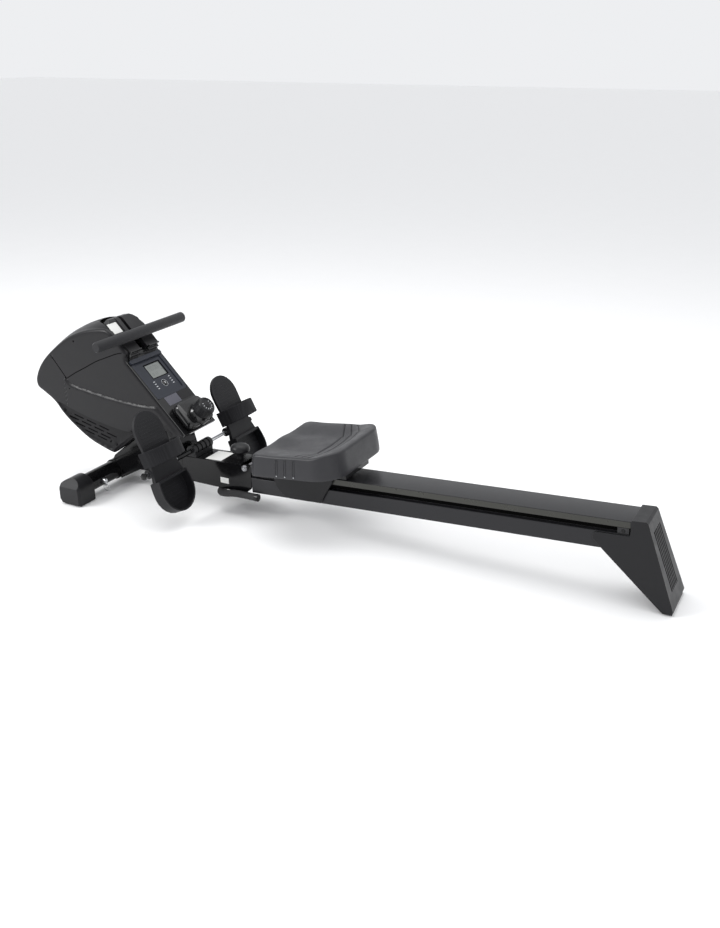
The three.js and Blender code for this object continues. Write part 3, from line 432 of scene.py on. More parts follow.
def bezier(points, steps):
    """Points along a cubic curve, both ends included."""
    a, b, c, d = points
    shares = [i / steps for i in range(steps + 1)]
    return [tuple(a[k] * (1 - t) ** 3 + 3 * b[k] * t * (1 - t) ** 2 + 3 * c[k] * t * t
            * (1 - t) + d[k] * t ** 3 for k in (0, 1)) for t in shares]


def to_row(space, points):
    """Points in millimetres of a tilted frame, given in the row frame."""
    return [tuple((space @ (Vector(p) * MM)) / MM) for p in points]


def circle(radius, count):
    """Points round the origin."""
    return [(radius * math.cos(a), radius * math.sin(a))
            for a in (2 * math.pi * k / count for k in range(count))]


def smooth_path(points, steps=8):
    """A Catmull-Rom curve through the points."""
    pts = [np.array(p, float) for p in points]
    padded = [2 * pts[0] - pts[1], *pts, 2 * pts[-1] - pts[-2]]
    out = []
    for p0, p1, p2, p3 in zip(padded, pts, pts[1:], padded[3:]):
        for t in (k / steps for k in range(steps)):
            out.append(0.5 * (2 * p1 + (p2 - p0) * t + (2 * p0 - 5 * p1 + 4 * p2 - p3) * t * t
                    + (3 * p1 - p0 - 3 * p2 + p3) * t ** 3))
    out.append(pts[-1])
    return [tuple(float(c) for c in p) for p in out]


def clamp(v):
    return min(max(v, 0.0), 1.0)


def ease(v):
    v = clamp(v)
    return v * v * (3 - 2 * v)


# ---------------------------------------------------------------- housing
HOUSING_OUTLINE = [(-446, 229), (-648, 431), (-652, 448), (-644, 460), (-700, 518), (-714, 525),
        (-729, 527), (-768, 522), (-809, 512), (-852, 496), (-891, 475), (-925, 451), (-957, 426),
        (-985, 400), (-1007, 374), (-1023, 347), (-1031, 322), (-1026, 300), (-1000, 284), (-971, 267),
        (-952, 250), (-934, 228), (-904, 201), (-866, 174), (-827, 151), (-788, 136), (-748, 124),
        (-732, 122), (-662, 176), (-600, 224), (-556, 268), (-489, 201)]
VENT_BORDER = [(-971, 266), (-933, 260), (-893, 251), (-853, 240), (-813, 230), (-773, 222), (-733, 215),
        (-694, 210), (-650, 208)]
RIDGE = [(-896, 347), (-881, 335), (-857, 328), (-801, 320), (-761, 315), (-722, 311), (-683, 308),
        (-644, 306), (-605, 305), (-567, 307), (-500, 312)]
SEAM_LOW = [(-956, 420), (-896, 347)]
SEAM_HIGH = [(-893, 349), (-855, 372), (-811, 396), (-768, 420), (-726, 438), (-685, 455), (-657, 463)]
SLOT_ROWS = [(-915, 234, 4), (-886, 215, 4), (-862, 196, 3), (-826, 176, 3)]
SHOULDER, CROWN = 72, 15


def on_console(x, z):
    """Place of a point along the console face, from its middle, and above it."""
    return (x + 596 - z + 379) * 0.70711, (x + 596 + z - 379) * 0.70711


def crown_share(x, z):
    return clamp((z - 340) / 100) * (1 + 0.5 * clamp((x + 860) / 130)) * clamp((-690 - x) / 20)


def rounded_outline():
    """The housing's outline with its long runs curved and its corners softened."""
    start, end = 5, 27
    curve = smooth_path([HOUSING_OUTLINE[i] for i in range(start, end + 1)], 7)
    corners = fillet([HOUSING_OUTLINE[i] for i in (end - 1, end, 28, 29, 30, 31)] + [HOUSING_OUTLINE[i]
            for i in range(start + 1)], 9, 5)
    points = curve + corners[2:-1]
    out = []
    for a, b in zip(points, points[1:] + points[:1]):
        gap = math.dist(a, b)
        steps = max(1, round(gap / 7))
        if gap > 0.05:
            out += [tuple(a[k] + (b[k] - a[k]) * i / steps for k in (0, 1)) for i in range(steps)]
    return out


def outline_normals(points):
    """Unit vectors that point into the outline, smoothed along it."""
    n = len(points)
    result = []
    for i in range(n):
        a, b = points[(i - 2) % n], points[(i + 2) % n]
        dx, dz = b[0] - a[0], b[1] - a[1]
        length = math.hypot(dx, dz)
        result.append((-dz / length, dx / length))
    return result


def distance_to(line, x, z):
    """Distance from a point to a line of points, and which side of it the point lies on."""
    best, side = 1e9, 1
    for (ax, az), (bx, bz) in zip(line, line[1:]):
        dx, dz = bx - ax, bz - az
        t = clamp(((x - ax) * dx + (z - az) * dz) / (dx * dx + dz * dz))
        d = math.hypot(x - ax - t * dx, z - az - t * dz)
        if d < best:
            best, side = d, math.copysign(1, dx * (z - az) - dz * (x - ax))
    return best, side


def shifted(line, offset):
    out = []
    for i, (x, z) in enumerate(line):
        a, b = line[max(i - 1, 0)], line[min(i + 1, len(line) - 1)]
        dx, dz = b[0] - a[0], b[1] - a[1]
        length = math.hypot(dx, dz)
        out.append((x - dz / length * offset, z + dx / length * offset))
    return out


def edge_gap(rim, x, z):
    return distance_to(rim + rim[:1], x, z)[0]


def inside(polygon, x, z):
    hit = False
    for (ax, az), (bx, bz) in zip(polygon, polygon[1:] + polygon[:1]):
        if (az > z) != (bz > z) and x < ax + (bx - ax) * (z - az) / (bz - az):
            hit = not hit
    return hit


def vent_slots(margin):
    tilt = math.radians(-13)
    out = []
    for x, z, count in SLOT_ROWS:
        for i in range(count):
            cx, cz = x + 50 * i, z - 11 * i
            half, tall = 19.5 - margin, 2.1 - margin
            ends = [(half * sx, tall * sz) for sx, sz in ((-1, -1), (1, -1), (1, 1), (-1, 1))]
            out.append([(cx + u * math.cos(tilt) - w * math.sin(tilt),
                    cz + u * math.sin(tilt) + w * math.cos(tilt)) for u, w in ends])
    return out


def housing_flank(material, dark, recess_shade):
    """Right half of the housing cover, and the same mirrored for the left."""
    ring = rounded_outline()
    normals = outline_normals(ring)
    ridge = smooth_path(RIDGE, 5)
    high = smooth_path(SEAM_HIGH, 5)
    vent = smooth_path(VENT_BORDER, 4)
    slots, slot_floors = vent_slots(0), vent_slots(0.4)
    screws = [(-851, 474, 3.4), (-516, 297, 4.6), (-884, 316, 2.2)]

    def place(i, y, inset):
        (x, z), (nx, nz) = ring[i], normals[i]
        return (x + nx * inset, y, z + nz * inset)

    def start_of(x, z):
        """Start of the skin, out from the middle: it leaves room for console, handle and post."""
        px, pz = on_console(x, z)
        if -226.6 < px < -70 and pz > -40:
            return 37 + 30 * clamp((px + 227.6) / 34.2)
        if px >= -70 and pz > -60:
            return 79
        if x > -606 and z < 300:
            return 67
        if -790 < x <= -606 and z < 240:
            return 49.5
        return 25

    vertices, faces, rows = [], [], []
    arc = [math.radians(a) for a in (0, 15, 30, 45, 60, 75, 90)]
    for i, (x, z) in enumerate(ring):
        share = crown_share(x, z)
        low = start_of(x, z)
        lip = 4.0 if low in (25, 49.5, 67, 79) else 18.0
        section = [(low, lip), (low, 0.9), (low + 0.6, 0.25)]
        top = max(low + 1.2, SHOULDER)
        span = [low + 1.2 + (top - low - 1.2) * k / 5 for k in range(6)]
        if low < 78:
            section = [(y, inset - CROWN * (1 - (min(y, SHOULDER) / SHOULDER) ** 2) * share)
                    for y, inset in section]
            section += [(y, -CROWN * (1 - (y / SHOULDER) ** 2) * share) for y in span]
            section += [(SHOULDER + 10 * math.sin(a), 10 * (1 - math.cos(a))) for a in arc[1:]]
        else:
            section = [(79, 20), (79, 12), (79, 8)] + [(79.2, 5.5 - 0.5 * k) for k in range(6)]
            section += [(79.4 + 2.6 * math.sin(a), 2.6 + 7.4 * (1 - math.cos(a))) for a in arc[1:]]
        rows.append([len(vertices) + k for k in range(len(section))])
        vertices += [place(i, y, inset) for y, inset in section]
    for a, b in zip(rows, rows[1:] + rows[:1]):
        for k in range(len(a) - 1):
            faces.append((a[k], b[k], b[k + 1], a[k + 1]))

    # Flank: a fine net inside the rounded edge, with lines that follow each groove, step and slot.
    rim = [(vertices[r[-1]][0], vertices[r[-1]][2]) for r in rows]
    points, edges = list(rim), [(i, (i + 1) % len(rim)) for i in range(len(rim))]

    def add_line(line, closed=False):
        line = [p for p in line if inside(rim, *p) and edge_gap(rim, *p) > 1.2]
        first = len(points)
        points.extend(line)
        edges.extend((first + i, first + i + 1) for i in range(len(line) - 1))
        if closed:
            edges.append((first + len(line) - 1, first))

    for line, widths in ((SEAM_LOW, (-1.6, 0, 1.6)), (high, (-1.3, 0, 1.3)),
            (ridge, (-9, -4.5, -1.2, 0, 1.2)), (vent, (-1.4, 0))):
        dense = []
        for a, b in zip(line, line[1:]):
            steps = max(1, round(math.dist(a, b) / 5))
            dense += [tuple(a[k] + (b[k] - a[k]) * i / steps for k in (0, 1)) for i in range(steps)]
        dense.append(line[-1])
        for width in widths:
            add_line(shifted(dense, width))
    for outline in slots + slot_floors:
        add_line(outline, True)
    for x, z, radius in screws:
        for r in (radius, radius * 0.8):
            add_line([(x + r * math.cos(a), z + r * math.sin(a))
                    for a in (2 * math.pi * k / 16 for k in range(16))], True)
    step = 7
    xs, zs = [p[0] for p in rim], [p[1] for p in rim]
    lines = [SEAM_LOW, high, ridge, vent]
    for row, z in enumerate(np.arange(min(zs), max(zs), step)):
        for x in np.arange(min(xs) + (row % 2) * step / 2, max(xs), step):
            if inside(rim, x, z) and edge_gap(rim, x,
                    z) > 3 and all(distance_to(l, x, z)[0] > 3 for l in lines):
                points.append((float(x), float(z)))
    net = delaunay_2d_cdt([Vector(p) for p in points], edges, [], 1, 1e-4)
    flat, triangles = net[0], net[2]

    def height(x, z):
        bulge, side = distance_to(ridge, x, z)
        out = 0.0
        if x > -905 and side < 0:
            out += 4.4 * ease(bulge / 9)
        elif x > -905:
            out -= 1.2 * clamp(1 - bulge / 1.2) * clamp((x + 905) / 20)
        for line, half, deep in ((SEAM_LOW, 1.6, 3.0), (high, 1.3, 2.4)):
            d, _ = distance_to(line, x, z)
            out -= deep * clamp(1 - d / half)
        margin = edge_gap(rim, x, z)
        out *= ease(margin / 16)
        d, side = distance_to(vent, x, z)
        if side < 0 and x > -975:
            out = out * clamp(1 - d / 1.4) - 4.2 * clamp(d / 1.4) * ease(margin / 5)
        for sx, sz, radius in screws:
            if math.hypot(x - sx, z - sz) < radius * 0.85:
                out -= 3
        for floor in slot_floors:
            cx, cz = sum(p[0] for p in floor) / 4, sum(p[1] for p in floor) / 4
            grown = [(cx + (p[0] - cx) * 1.004, cz + (p[1] - cz) * 1.02) for p in floor]
            if abs(x - cx) < 20 and inside(grown, x, z):
                return -8.0
        return out

    def tone(corners):
        """Material of a flank face: painted shade in seams and slots, and the darker shell copy as painted
        shade inside the sunken vent zone.
        """
        x, y, z = (sum(c[k] for c in corners) / len(corners) for k in range(3))
        if y < 76.5 or distance_to(SEAM_LOW, x, z)[0] < 1.2 or distance_to(high, x, z)[0] < 0.9:
            return 1
        d, side = distance_to(vent, x, z)
        return 2 if side < 0 and x > -975 and d > 1.2 else 0

    table = {}
    first = len(rim)
    for index, p in enumerate(flat):
        if index < first and math.dist(p, rim[index]) < 1e-3:
            table[index] = rows[index][-1]
        else:
            table[index] = len(vertices)
            vertices.append((p.x, 82 + height(p.x, p.y), p.y))
    tones = {}
    for t in triangles:
        face = [table[i] for i in t]
        if len(set(face)) > 2:
            tones[len(faces)] = tone([vertices[i] for i in face])
            faces.append(face)

    for word, sign in (("left", -1), ("right", 1)):
        node = "housing_shell_" + word
        obj = add_piece("cover_" + word, [(x, y * sign, z) for x, y, z in vertices], faces,
                [material, dark, recess_shade], "base", [node], 32)
        bm = bmesh.new()
        bm.from_mesh(obj.data)
        bmesh.ops.recalc_face_normals(bm, faces=bm.faces)
        bm.faces.ensure_lookup_table()
        if sum(f.normal.y * f.calc_area() for f in bm.faces) * sign < 0:
            bmesh.ops.reverse_faces(bm, faces=bm.faces)
        bm.to_mesh(obj.data)
        bm.free()
        shade(obj.data, 32)
        # The tones lay the painted shade on the flank's faces.
        for index, key in tones.items():
            if index < len(obj.data.polygons):
                obj.data.polygons[index].material_index = key
    return ring, normals


def housing_spine(ring, normals, material, dark):
    """The band between the two covers, with a channel on both sides of it whose walls carry painted shade.
    """
    chosen = [i for i, (x, z) in enumerate(ring) if x < -606 and not (x > -790 and z < 240)
            and on_console(x, z)[0] < -227]
    order = sorted(chosen, key=lambda i: (i - chosen[0]) % len(ring))
    jumps = [k for k in range(1, len(order)) if order[k] - order[k - 1] != 1]
    if jumps:
        order = order[jumps[0]:] + order[:jumps[0]]
    section = [(-32, 4.2), (-23.4, 4.2), (-22, 4.0), (-22, 0.8), (-21.2, 0)]
    section += [(y, 0) for y in (-16, -8, 0, 8, 16)] + [(-y, inset) for y, inset in section[::-1]]
    vertices, faces, tones = [], [], []
    for i in order:
        (x, z), (nx, nz) = ring[i], normals[i]
        for y, inset in section:
            inset = inset - CROWN * (1 - (y / SHOULDER) ** 2) * crown_share(x, z)
            vertices.append((x + nx * inset, y, z + nz * inset))
    width = len(section)
    for r in range(len(order) - 1):
        for k in range(width - 1):
            a = r * width + k
            faces.append((a, a + 1, a + width + 1, a + width))
            # Faces down into the channels get painted shade.
            tones.append(1 if k < 2 or k > width - 4 else 0)
    obj = add_piece("cover_spine", vertices, faces, [material, dark], "base",
            ["housing_spine"], 40)
    for polygon, tone in zip(obj.data.polygons, tones):
        polygon.material_index = tone
    return obj


def make_housing(m):
    ring, normals = housing_flank(m["shell"], m["groove"], m["recess_shade"])
    housing_spine(ring, normals, m["spine"], m["groove"])
    polish("bridge_block", m["spine"], 1.0, 3)
    polish("handle_tray", m["gloss"], 0.8)
    on_panel("top_label", (-202, -164, -69, -28, 23.6, 24.4), m["label"], 0.2)
    for word in ("left", "right"):
        polish("mast_plate_" + word, m["paint"], 0.4)


# ---------------------------------------------------------------- console and tension unit
def on_panel(name, sides, material, width=0, body="base", nodes=()):
    return block(name, sides, material, body, PANEL_FRAME, width, nodes)


def make_console(m):
    polish("console_case", m["console"], 0.7)
    polish("panel_carrier", m["gloss"], 0.5)
    polish("tension_cover", m["gloss"], 1.5, 3)
    on_panel("display_glass", (-43.5, 4.5, -25.5, 44.5, -8.6, -3.4), m["display"], 0.3,
            nodes=["console_display"])
    # Near-black strips round the display: painted shade of the sunken glass.
    frame_sides = [(-46.5, -44, -28.5, 47.5), (5, 7.5, -28.5, 47.5), (-44, 5, -28.5, -26),
            (-44, 5, 45, 47.5)]
    for i, (x0, x1, y0, y1) in enumerate(frame_sides):
        on_panel(f"display_shade_rim_{i}", (x0, x1, y0, y1, -0.9, 0.1), m["groove"], width=0.2)

    # Display figures: two rows of seven-segment digits, as plain bars.
    def digit(name, x, y, tall, wide, lit):
        bars = {"a": (0, 0, 0), "g": (1, 0, 0), "d": (2, 0, 0), "f": (0, 0, 1), "b": (0, 1, 1),
                "e": (1, 0, 1), "c": (1, 1, 1)}
        vertices, faces = [], []
        for key in lit:
            row, column, upright = bars[key]
            thick = 0.55
            if upright:
                x0, x1 = x + row * tall / 2 + 0.5, x + (row + 1) * tall / 2 - 0.5
                y0 = y + column * wide - thick
                y1 = y + column * wide + thick
            else:
                x0, x1 = x + row * tall / 2 - thick, x + row * tall / 2 + thick
                y0, y1 = y + 0.9, y + wide - 0.9
            base = len(vertices)
            vertices += [(x0, y0, -3.32), (x1, y0, -3.32), (x1, y1, -3.32), (x0, y1, -3.32)]
            faces.append((base, base + 1, base + 2, base + 3))
        add_piece(name, vertices, faces, m["segments"], "base", (), 35, PANEL_FRAME)

    for i, (y, lit) in enumerate(((-14, "abcdef"), (-3, "abcdef"), (10, "abcdef"), (21, "abcdef"))):
        digit(f"digit_upper_{i}", -36, y, 14, 7, lit)
    for i, (y, lit) in enumerate(((-12, "abcdef"), (-3, "bc"), (6, "abged"))):
        digit(f"digit_lower_{i}", -13, y, 9, 5, lit)
    for i in range(3):
        x = -39 + 11.5 * i
        on_panel(f"display_bar_{i}", (x, x + 0.6, 33, 41, -3.4, -3.28), m["segments"])
    panel_out = PANEL_FRAME.to_3x3() @ Vector((0, 0, 1))
    turned("button_cap", [(0, -8), (8.8, -8), (8.8, 0.6), (7.6, 1.7), (5, 2.1), (0, 2.2)],
            PANEL_FRAME @ Vector((0.031, 0.004, 0)) / MM, panel_out, m["gloss"], "console_button", 48, 40,
            0.4)
    on_panel("button_mark", (27.5, 34.5, 2.6, 5.4, 2.1, 2.32), m["mark"], body="console_button")
    rim = [(31 + 12 * math.cos(a), 4 + 10.6 * math.sin(a), -0.35)
            for a in (2 * math.pi * k / 48 for k in range(48))]
    sweep("button_rim", to_row(PANEL_FRAME, rim), 0.45, m["mark"], "base", 8, (), True,
            tuple(panel_out))
    for i in range(4):
        x = 15 + 8.5 * i
        on_panel(f"mark_right_{i}", (x, x + 2.2, 35, 42, -0.5, -0.3), m["mark"])
        on_panel(f"mark_left_{i}", (x, x + 2.4, -38, -31, -0.5, -0.3), m["mark"])
    on_panel("unit_plate", (75.5, 107, -48, 13, 1.9, 2.5), m["plate"], 0.2)
    on_panel("unit_plate_right", (75.5, 105, 14, 74, 1.9, 2.9), m["shell"], 0.4)

    # Tension knob: ribbed side, dished face with a pale scale ring and a raised centre.
    knob_frame = PANEL_FRAME @ Matrix.Translation((0.176, 0, 0))
    turned("tension_knob_look", [(0, 14), (6, 14), (6, 47.6), (30, 47.6), (30, 55), (28.6, 77), (26, 81.5),
            (23, 83), (21, 82.2), (19.6, 80.6), (9.6, 80.6), (8.6, 82), (0, 82.2)],
            knob_frame.to_translation() / MM, panel_out, m["moulded"], "tension_knob", 96, 40, 1.2)
    for name, count, first, step, sides, key, width in (("knob_rib", 20, 0, 18,
            (28.2, 30.2, -1.3, 1.3, 50, 75), "moulded", 0.5),
            ("knob_tick", 9, -120, 30, (13.5, 18, -0.9, 0.9, 80.5, 80.9), "mark", 0)):
        for i in range(count):
            turn = knob_frame @ Matrix.Rotation(math.radians(first + step * i), 4, "Z")
            block(f"{name}_{i}", sides, m[key], "tension_knob", turn, width)


# ---------------------------------------------------------------- handle and straps
def make_handle(m):
    centre = (-648, 0, 511)
    foam_piece = turned("grip", [(11.3, -202.5), (0, -202.5), (0, -208), (12.5, -208), (16.5, -203),
            (16.5, 203), (12.5, 208), (0, 208), (0, 202.5), (11.3, 202.5), (11.3, -202.5)], centre,
            (0, 1, 0), m["foam"], "handle_foam", 64, 45)
    polish("handle_tube", m["paint"], 0.3)
    polish("handle_eye", m["zinc"], 0.6)
    turned("strap_roller_look", [(3.4, -12), (8, -12), (8, -8.8), (7, -8.2), (7, 8.2), (8, 8.8), (8, 12),
            (3.4, 12), (3.4, -12)], (-694, 0, 470), (0, 1, 0), m["moulded"], "strap_roller", 48, 40)


def make_strap(material):
    """Free end of the pull strap, spread from the roller to the handle, with its loop."""
    start, end = Vector((-698.1, 0, 478.1)), Vector((-671.7, 0, 488.7))
    half, thick = 7.6, 0.8
    run = [start.lerp(end, i / 60) for i in range(61)]
    loop = fillet([(-6.2, -2.8), (6.2, -2.8), (6.2, 2.8), (-6.2, 2.8)] * 2, 2.2, 4)
    count = len(loop) // 2
    centre = Vector((-0.1301, 0, 0.0271))
    ring = [PANEL_FRAME @ (centre + Vector((x, 0, z)) * MM) / MM
            for x, z in loop[count // 2:count // 2 + count]]
    vertices, faces = [], []
    for line, closed in ((run, False), (ring, True)):
        first, n = len(vertices), len(line)
        for i, p in enumerate(line):
            before = line[i - 1] if closed or i else p
            after = line[(i + 1) % n] if closed or i < n - 1 else p
            along = (after - before).normalized()
            out = Vector((-along.z, 0, along.x)) * thick
            for y, lift in ((-half, 0.5), (-half + 0.4, 1), (half - 0.4, 1), (half, 0.5), (half, -0.5),
                    (half - 0.4, -1), (-half + 0.4, -1), (-half, -0.5)):
                vertices.append((p.x + out.x * lift, y, p.z + out.z * lift))
        wall(faces, first, n, 8, closed)
        if not closed:
            faces.append(tuple(range(first + 7, first - 1, -1)))
            faces.append(tuple(range(first + (n - 1) * 8, first + n * 8)))
    strap = add_piece("pull_strap", vertices, faces, material, None,
            ["strap_outer"], 50)
    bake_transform(strap)


def make_drive(m):
    for node, key, width in (("flywheel", "iron", 0.6), ("flywheel_axle", "zinc", 0.3),
            ("drum_pulley", "moulded", 0.4), ("strap_drum", "moulded", 0.4),
            ("recoil_spring_case", "iron", 0.5), ("drum_axle", "zinc", 0.3), ("drive_belt", "rubber", 0.3),
            ("magnet_shoe", "iron", 0.5), ("strap_inner", "webbing", 0.3)):
        polish(node, m[key], width)
    make_strap(m["webbing"])


# ---------------------------------------------------------------- frame
def make_frame(m):
    polish("front_post", m["paint"], 1.0, 3)
    polish("main_beam", m["paint"], 1.4, 3)
    polish("stabilizer_saddle", m["paint"], 0.6)
    turned("stabilizer_bar", [(27.5, -229), (30, -229), (30, 229), (27.5, 229), (27.5, -229)],
            (-770, 0, 46.5), (0, 1, 0), m["paint"], "front_stabilizer_tube", 96, 35)
    for word in ("left", "right"):
        polish("stabilizer_cap_" + word, m["moulded"], 2.2, 4, 20)
    bar = smooth_path([(-202, -60, 67), (-240, -60, 66.5), (-285, -60, 65), (-320, -60, 59),
            (-345, -50, 54.4), (-356, -28, 54), (-358, 0, 54), (-356, 28, 54), (-345, 50, 54.4),
            (-320, 60, 59), (-285, 60, 65), (-240, 60, 66.5), (-202, 60, 67)], 8)
    sweep("stand_bar_look", bar, 11, m["rubber"], "base", 32, ["stand_bar"], False,
            (0, 0, 1))
    for word, part in (("left", bar[:3]), ("right", bar[-3:])):
        sweep("stand_bar_ring_" + word, part, 11.6, m["paint"], "base", 32, (), False,
                (0, 0, 1))

    beam = Matrix.Translation((-0.256, 0, 0.157)) @ Matrix.Rotation(-math.atan(0.055), 4, "Y")
    block("beam_label", (-150, -92, -38, 34, 0.05, 0.4), m["label"], "base", beam, 0.1)
    side = Matrix.Translation((-0.256, -0.0451, 0.1))
    block("side_label", (-92, -62, -0.3, 0, -16, 2), m["label"], "base", side, 0)
    turned("fold_pivot", [(0, -52), (7.5, -52), (9.4, -51), (10, -49.6), (10, -45.6), (5.9, -45.6),
            (5.9, 45.6), (10, 45.6), (10, 49.6), (9.4, 51), (7.5, 52), (0, 52)], (-256, 0, 148), (0, 1, 0),
            m["iron"], "fold_pivot_bolt", 48, 40)
    for sign in (-1, 1):
        hex_head("pivot_hex_" + ("left" if sign < 0 else "right"), (-256, sign * 52, 148), (0, sign, 0),
                5.2, 3.2, m["zinc"], "base")
    turned("fold_knob_look", [(0, -14), (4.5, -14), (4.5, 0), (11, 0), (11.6, 1.5), (11, 3), (11, 18),
            (13, 20.5), (24, 23), (28.5, 26), (30.3, 30), (30, 34), (27.5, 40), (22, 45), (14, 48.6),
            (6, 50), (0, 50.2)], (-302, 0, 155.07), (0, 0, 1), m["moulded"], "fold_knob", 96, 50)
    polish("rail_hinge_bracket", m["paint"], 0.8)


def hex_head(name, centre, axis, across, tall, material, body):
    space = facing(centre, axis)
    ring = circle(across, 6)
    vertices = [(x, y, 0) for x, y in ring] + [(x, y, tall) for x, y in ring]
    faces = [tuple(reversed(range(6))), tuple(range(6, 12))] + [(k, (k + 1) % 6, 6 + (k + 1) % 6, 6 + k)
            for k in range(6)]
    return bevel(add_piece(name, vertices, faces, material, body, (), 35, space), 0.5, 2)


def make_lock(m):
    polish("lock_pin", m["zinc"], 0.4)
    ring = [(x - 728.8, -133, z + 23) for x, z in circle(11, 64)]
    sweep("lock_ring", ring, 1.2, m["zinc"], "lock_pin_ring", 16,
            ["lock_pin_ring"], True, (0, 1, 0))


# ---------------------------------------------------------------- pedals
def pedal_frame(side):
    """Local axes of a pedal: x from heel to toe, y across, z towards the user."""
    lean, y = PEDAL_LEAN[side], -PEDAL_Y if side == "left" else PEDAL_Y
    along = Vector((-math.sin(lean), 0, math.cos(lean)))
    out = Vector((math.cos(lean), 0, math.sin(lean)))
    across = out.cross(along)
    rotation = Matrix((along, across, out)).transposed().to_4x4()
    return Matrix.Translation(PEDAL_AXLE + Vector((0, y, 0))) @ rotation


def foot_outline(margin):
    """The pedal's plan: a wide round heel, a waist and a round toe."""
    steps = 20
    w, toe, heel = 71 - margin, 175 - margin, -142 + margin
    toe_half, waist = w * 0.86, w * 0.8

    def curve(*ends):
        return bezier(ends, steps)[:-1]

    start = (heel + w * 0.95, -w)
    points = curve(start, (heel + w * 1.6, -w), (-15, -waist), (25, -waist))
    points += curve((25, -waist), (60, -waist), (80, -toe_half), (toe - toe_half, -toe_half))
    points += [(toe - toe_half + toe_half * math.cos(a), toe_half * math.sin(a))
            for a in (-math.pi / 2 + math.pi * i / (2 * steps) for i in range(2 * steps))]
    points += curve((toe - toe_half, toe_half), (80, toe_half), (60, waist), (25, waist))
    points += curve((25, waist), (-15, waist), (heel + w * 1.6, w), (heel + w * 0.95, w))
    points += [(heel + w * 0.95 + w * 0.95 * math.cos(a), w * math.sin(a))
            for a in (math.pi / 2 + math.pi * i / (2 * steps) for i in range(2 * steps))]
    return points


def make_pedals(m):
    bed, cup = 26, 28
    axle = tuple(PEDAL_AXLE / MM)
    for side in ("left", "right"):
        space = pedal_frame(side)
        body = "pedal_" + side
        obj = polish("pedal_" + side, m["pedal"], 1.4, 3, 28)
        obj.name = "pedal_look_" + side
        # Fine tread across the toe plate and inside the heel cup.
        for i in range(9):
            x = 70 + 10 * i
            half = 46 if x < 125 else math.sqrt(max(60 ** 2 - (x - 115) ** 2, 0)) - 16
            if half > 6:
                block(f"toe_rib_{side}_{i}", (x, x + 3, -half, half, bed - 5.2, bed - 4.2), m["pedal"],
                        body, space, 0.4)
        for i in range(6):
            x = -118 + 12 * i
            half = 52 if x > -100 else 40
            block(f"heel_rib_{side}_{i}", (x, x + 3, -half, half, bed - cup + 7.8, bed - cup + 9),
                    m["pedal"], body, space, 0.4)
        # Rolled rim round the heel cup.
        rim = [(x, y, bed + 6) for x, y in foot_outline(2.5) if x < -31]
        start = next(i for i in range(len(rim)) if math.dist(rim[i], rim[i - 1]) > 20)
        rim = rim[start:] + rim[:start]
        sweep(f"heel_rim_{side}", to_row(space, rim), 2.6, m["pedal"], body, 12, (), False,
                tuple(space.to_3x3() @ Vector((0, 0, 1))))
        foot_strap(side, space, body, m)
        sign = -1 if side == "left" else 1
        turned("axle_nut_look_" + side, [(7.3, 270), (10, 270), (10.6, 271), (10.6, 279), (10, 280.4),
                (6, 282.2), (0, 282.8)], axle, (0, sign, 0), m["paint"], "axle_nut_" + side, 6, 35)
    turned("axle_rod", [(0, -281), (5, -281), (6, -280), (6, 280), (5, 281), (0, 281)], axle, (0, 1, 0),
            m["zinc"], "pedal_axle", 48, 40)
    turned("axle_spacer", [(6.2, -121), (7.4, -120.4), (7.4, -49.6), (6.2, -49)], axle, (0, 1, 0),
            m["paint"], "axle_sleeve", 48, 40, replace=False)
    polish("axle_sleeve", m["moulded"], 0.5)


def foot_strap(side, space, body, m):
    """Hook-and-loop band over the foot, with an overlapping tail."""
    bed, w, middle, half = 26, 71, 42, 24

    def arch(offset, steps=30):
        p = [(-w - 2.2, bed - 16), (-w - 1.6, bed + 39), (-w + 27, bed + 50.5), (0, bed + 51.5)]
        left = bezier(p, steps)
        line = left + [(-y, z) for y, z in left[-2::-1]]
        out = []
        for i, (y, z) in enumerate(line):
            a, b = line[max(i - 1, 0)], line[min(i + 1, len(line) - 1)]
            dy, dz = b[0] - a[0], b[1] - a[1]
            length = math.hypot(dy, dz)
            out.append((y - dz / length * offset, z + dy / length * offset))
        return out

    def band(name, line_in, line_out, x0, x1, key):
        vertices, faces = [], []
        columns = [x0, x0 + 0.6, x0 + 2.2, x0 + 3.0, x1 - 3.0, x1 - 2.2, x1 - 0.6, x1]
        lift = [-0.5, 0, 0, -0.25, -0.25, 0, 0, -0.5]
        loop = len(columns) * 2
        for (yi, zi), (yo, zo) in zip(line_in, line_out):
            dy, dz = yo - yi, zo - zi
            length = math.hypot(dy, dz)
            ny, nz = dy / length, dz / length
            for x, rise in zip(columns, lift):
                vertices.append((x, yo + ny * rise, zo + nz * rise))
            for x, rise in zip(reversed(columns), reversed(lift)):
                vertices.append((x, yi - ny * rise, zi - nz * rise))
        wall(faces, 0, len(line_in), loop)
        faces.append(tuple(reversed(range(loop))))
        faces.append(tuple(range(len(vertices) - loop, len(vertices))))
        return add_piece(name, vertices, faces, m[key], body, (), 50, space)

    main = band("foot_strap_" + side, arch(-1.1), arch(1.1), middle - half, middle + half, "webbing")
    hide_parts("pedal_strap_" + side)
    tail_in, tail_out = arch(1.2)[14:52], arch(3.2)[14:52]
    band("foot_strap_tail_" + side, tail_in, tail_out, middle - half + 1, middle + half - 1, "webbing")


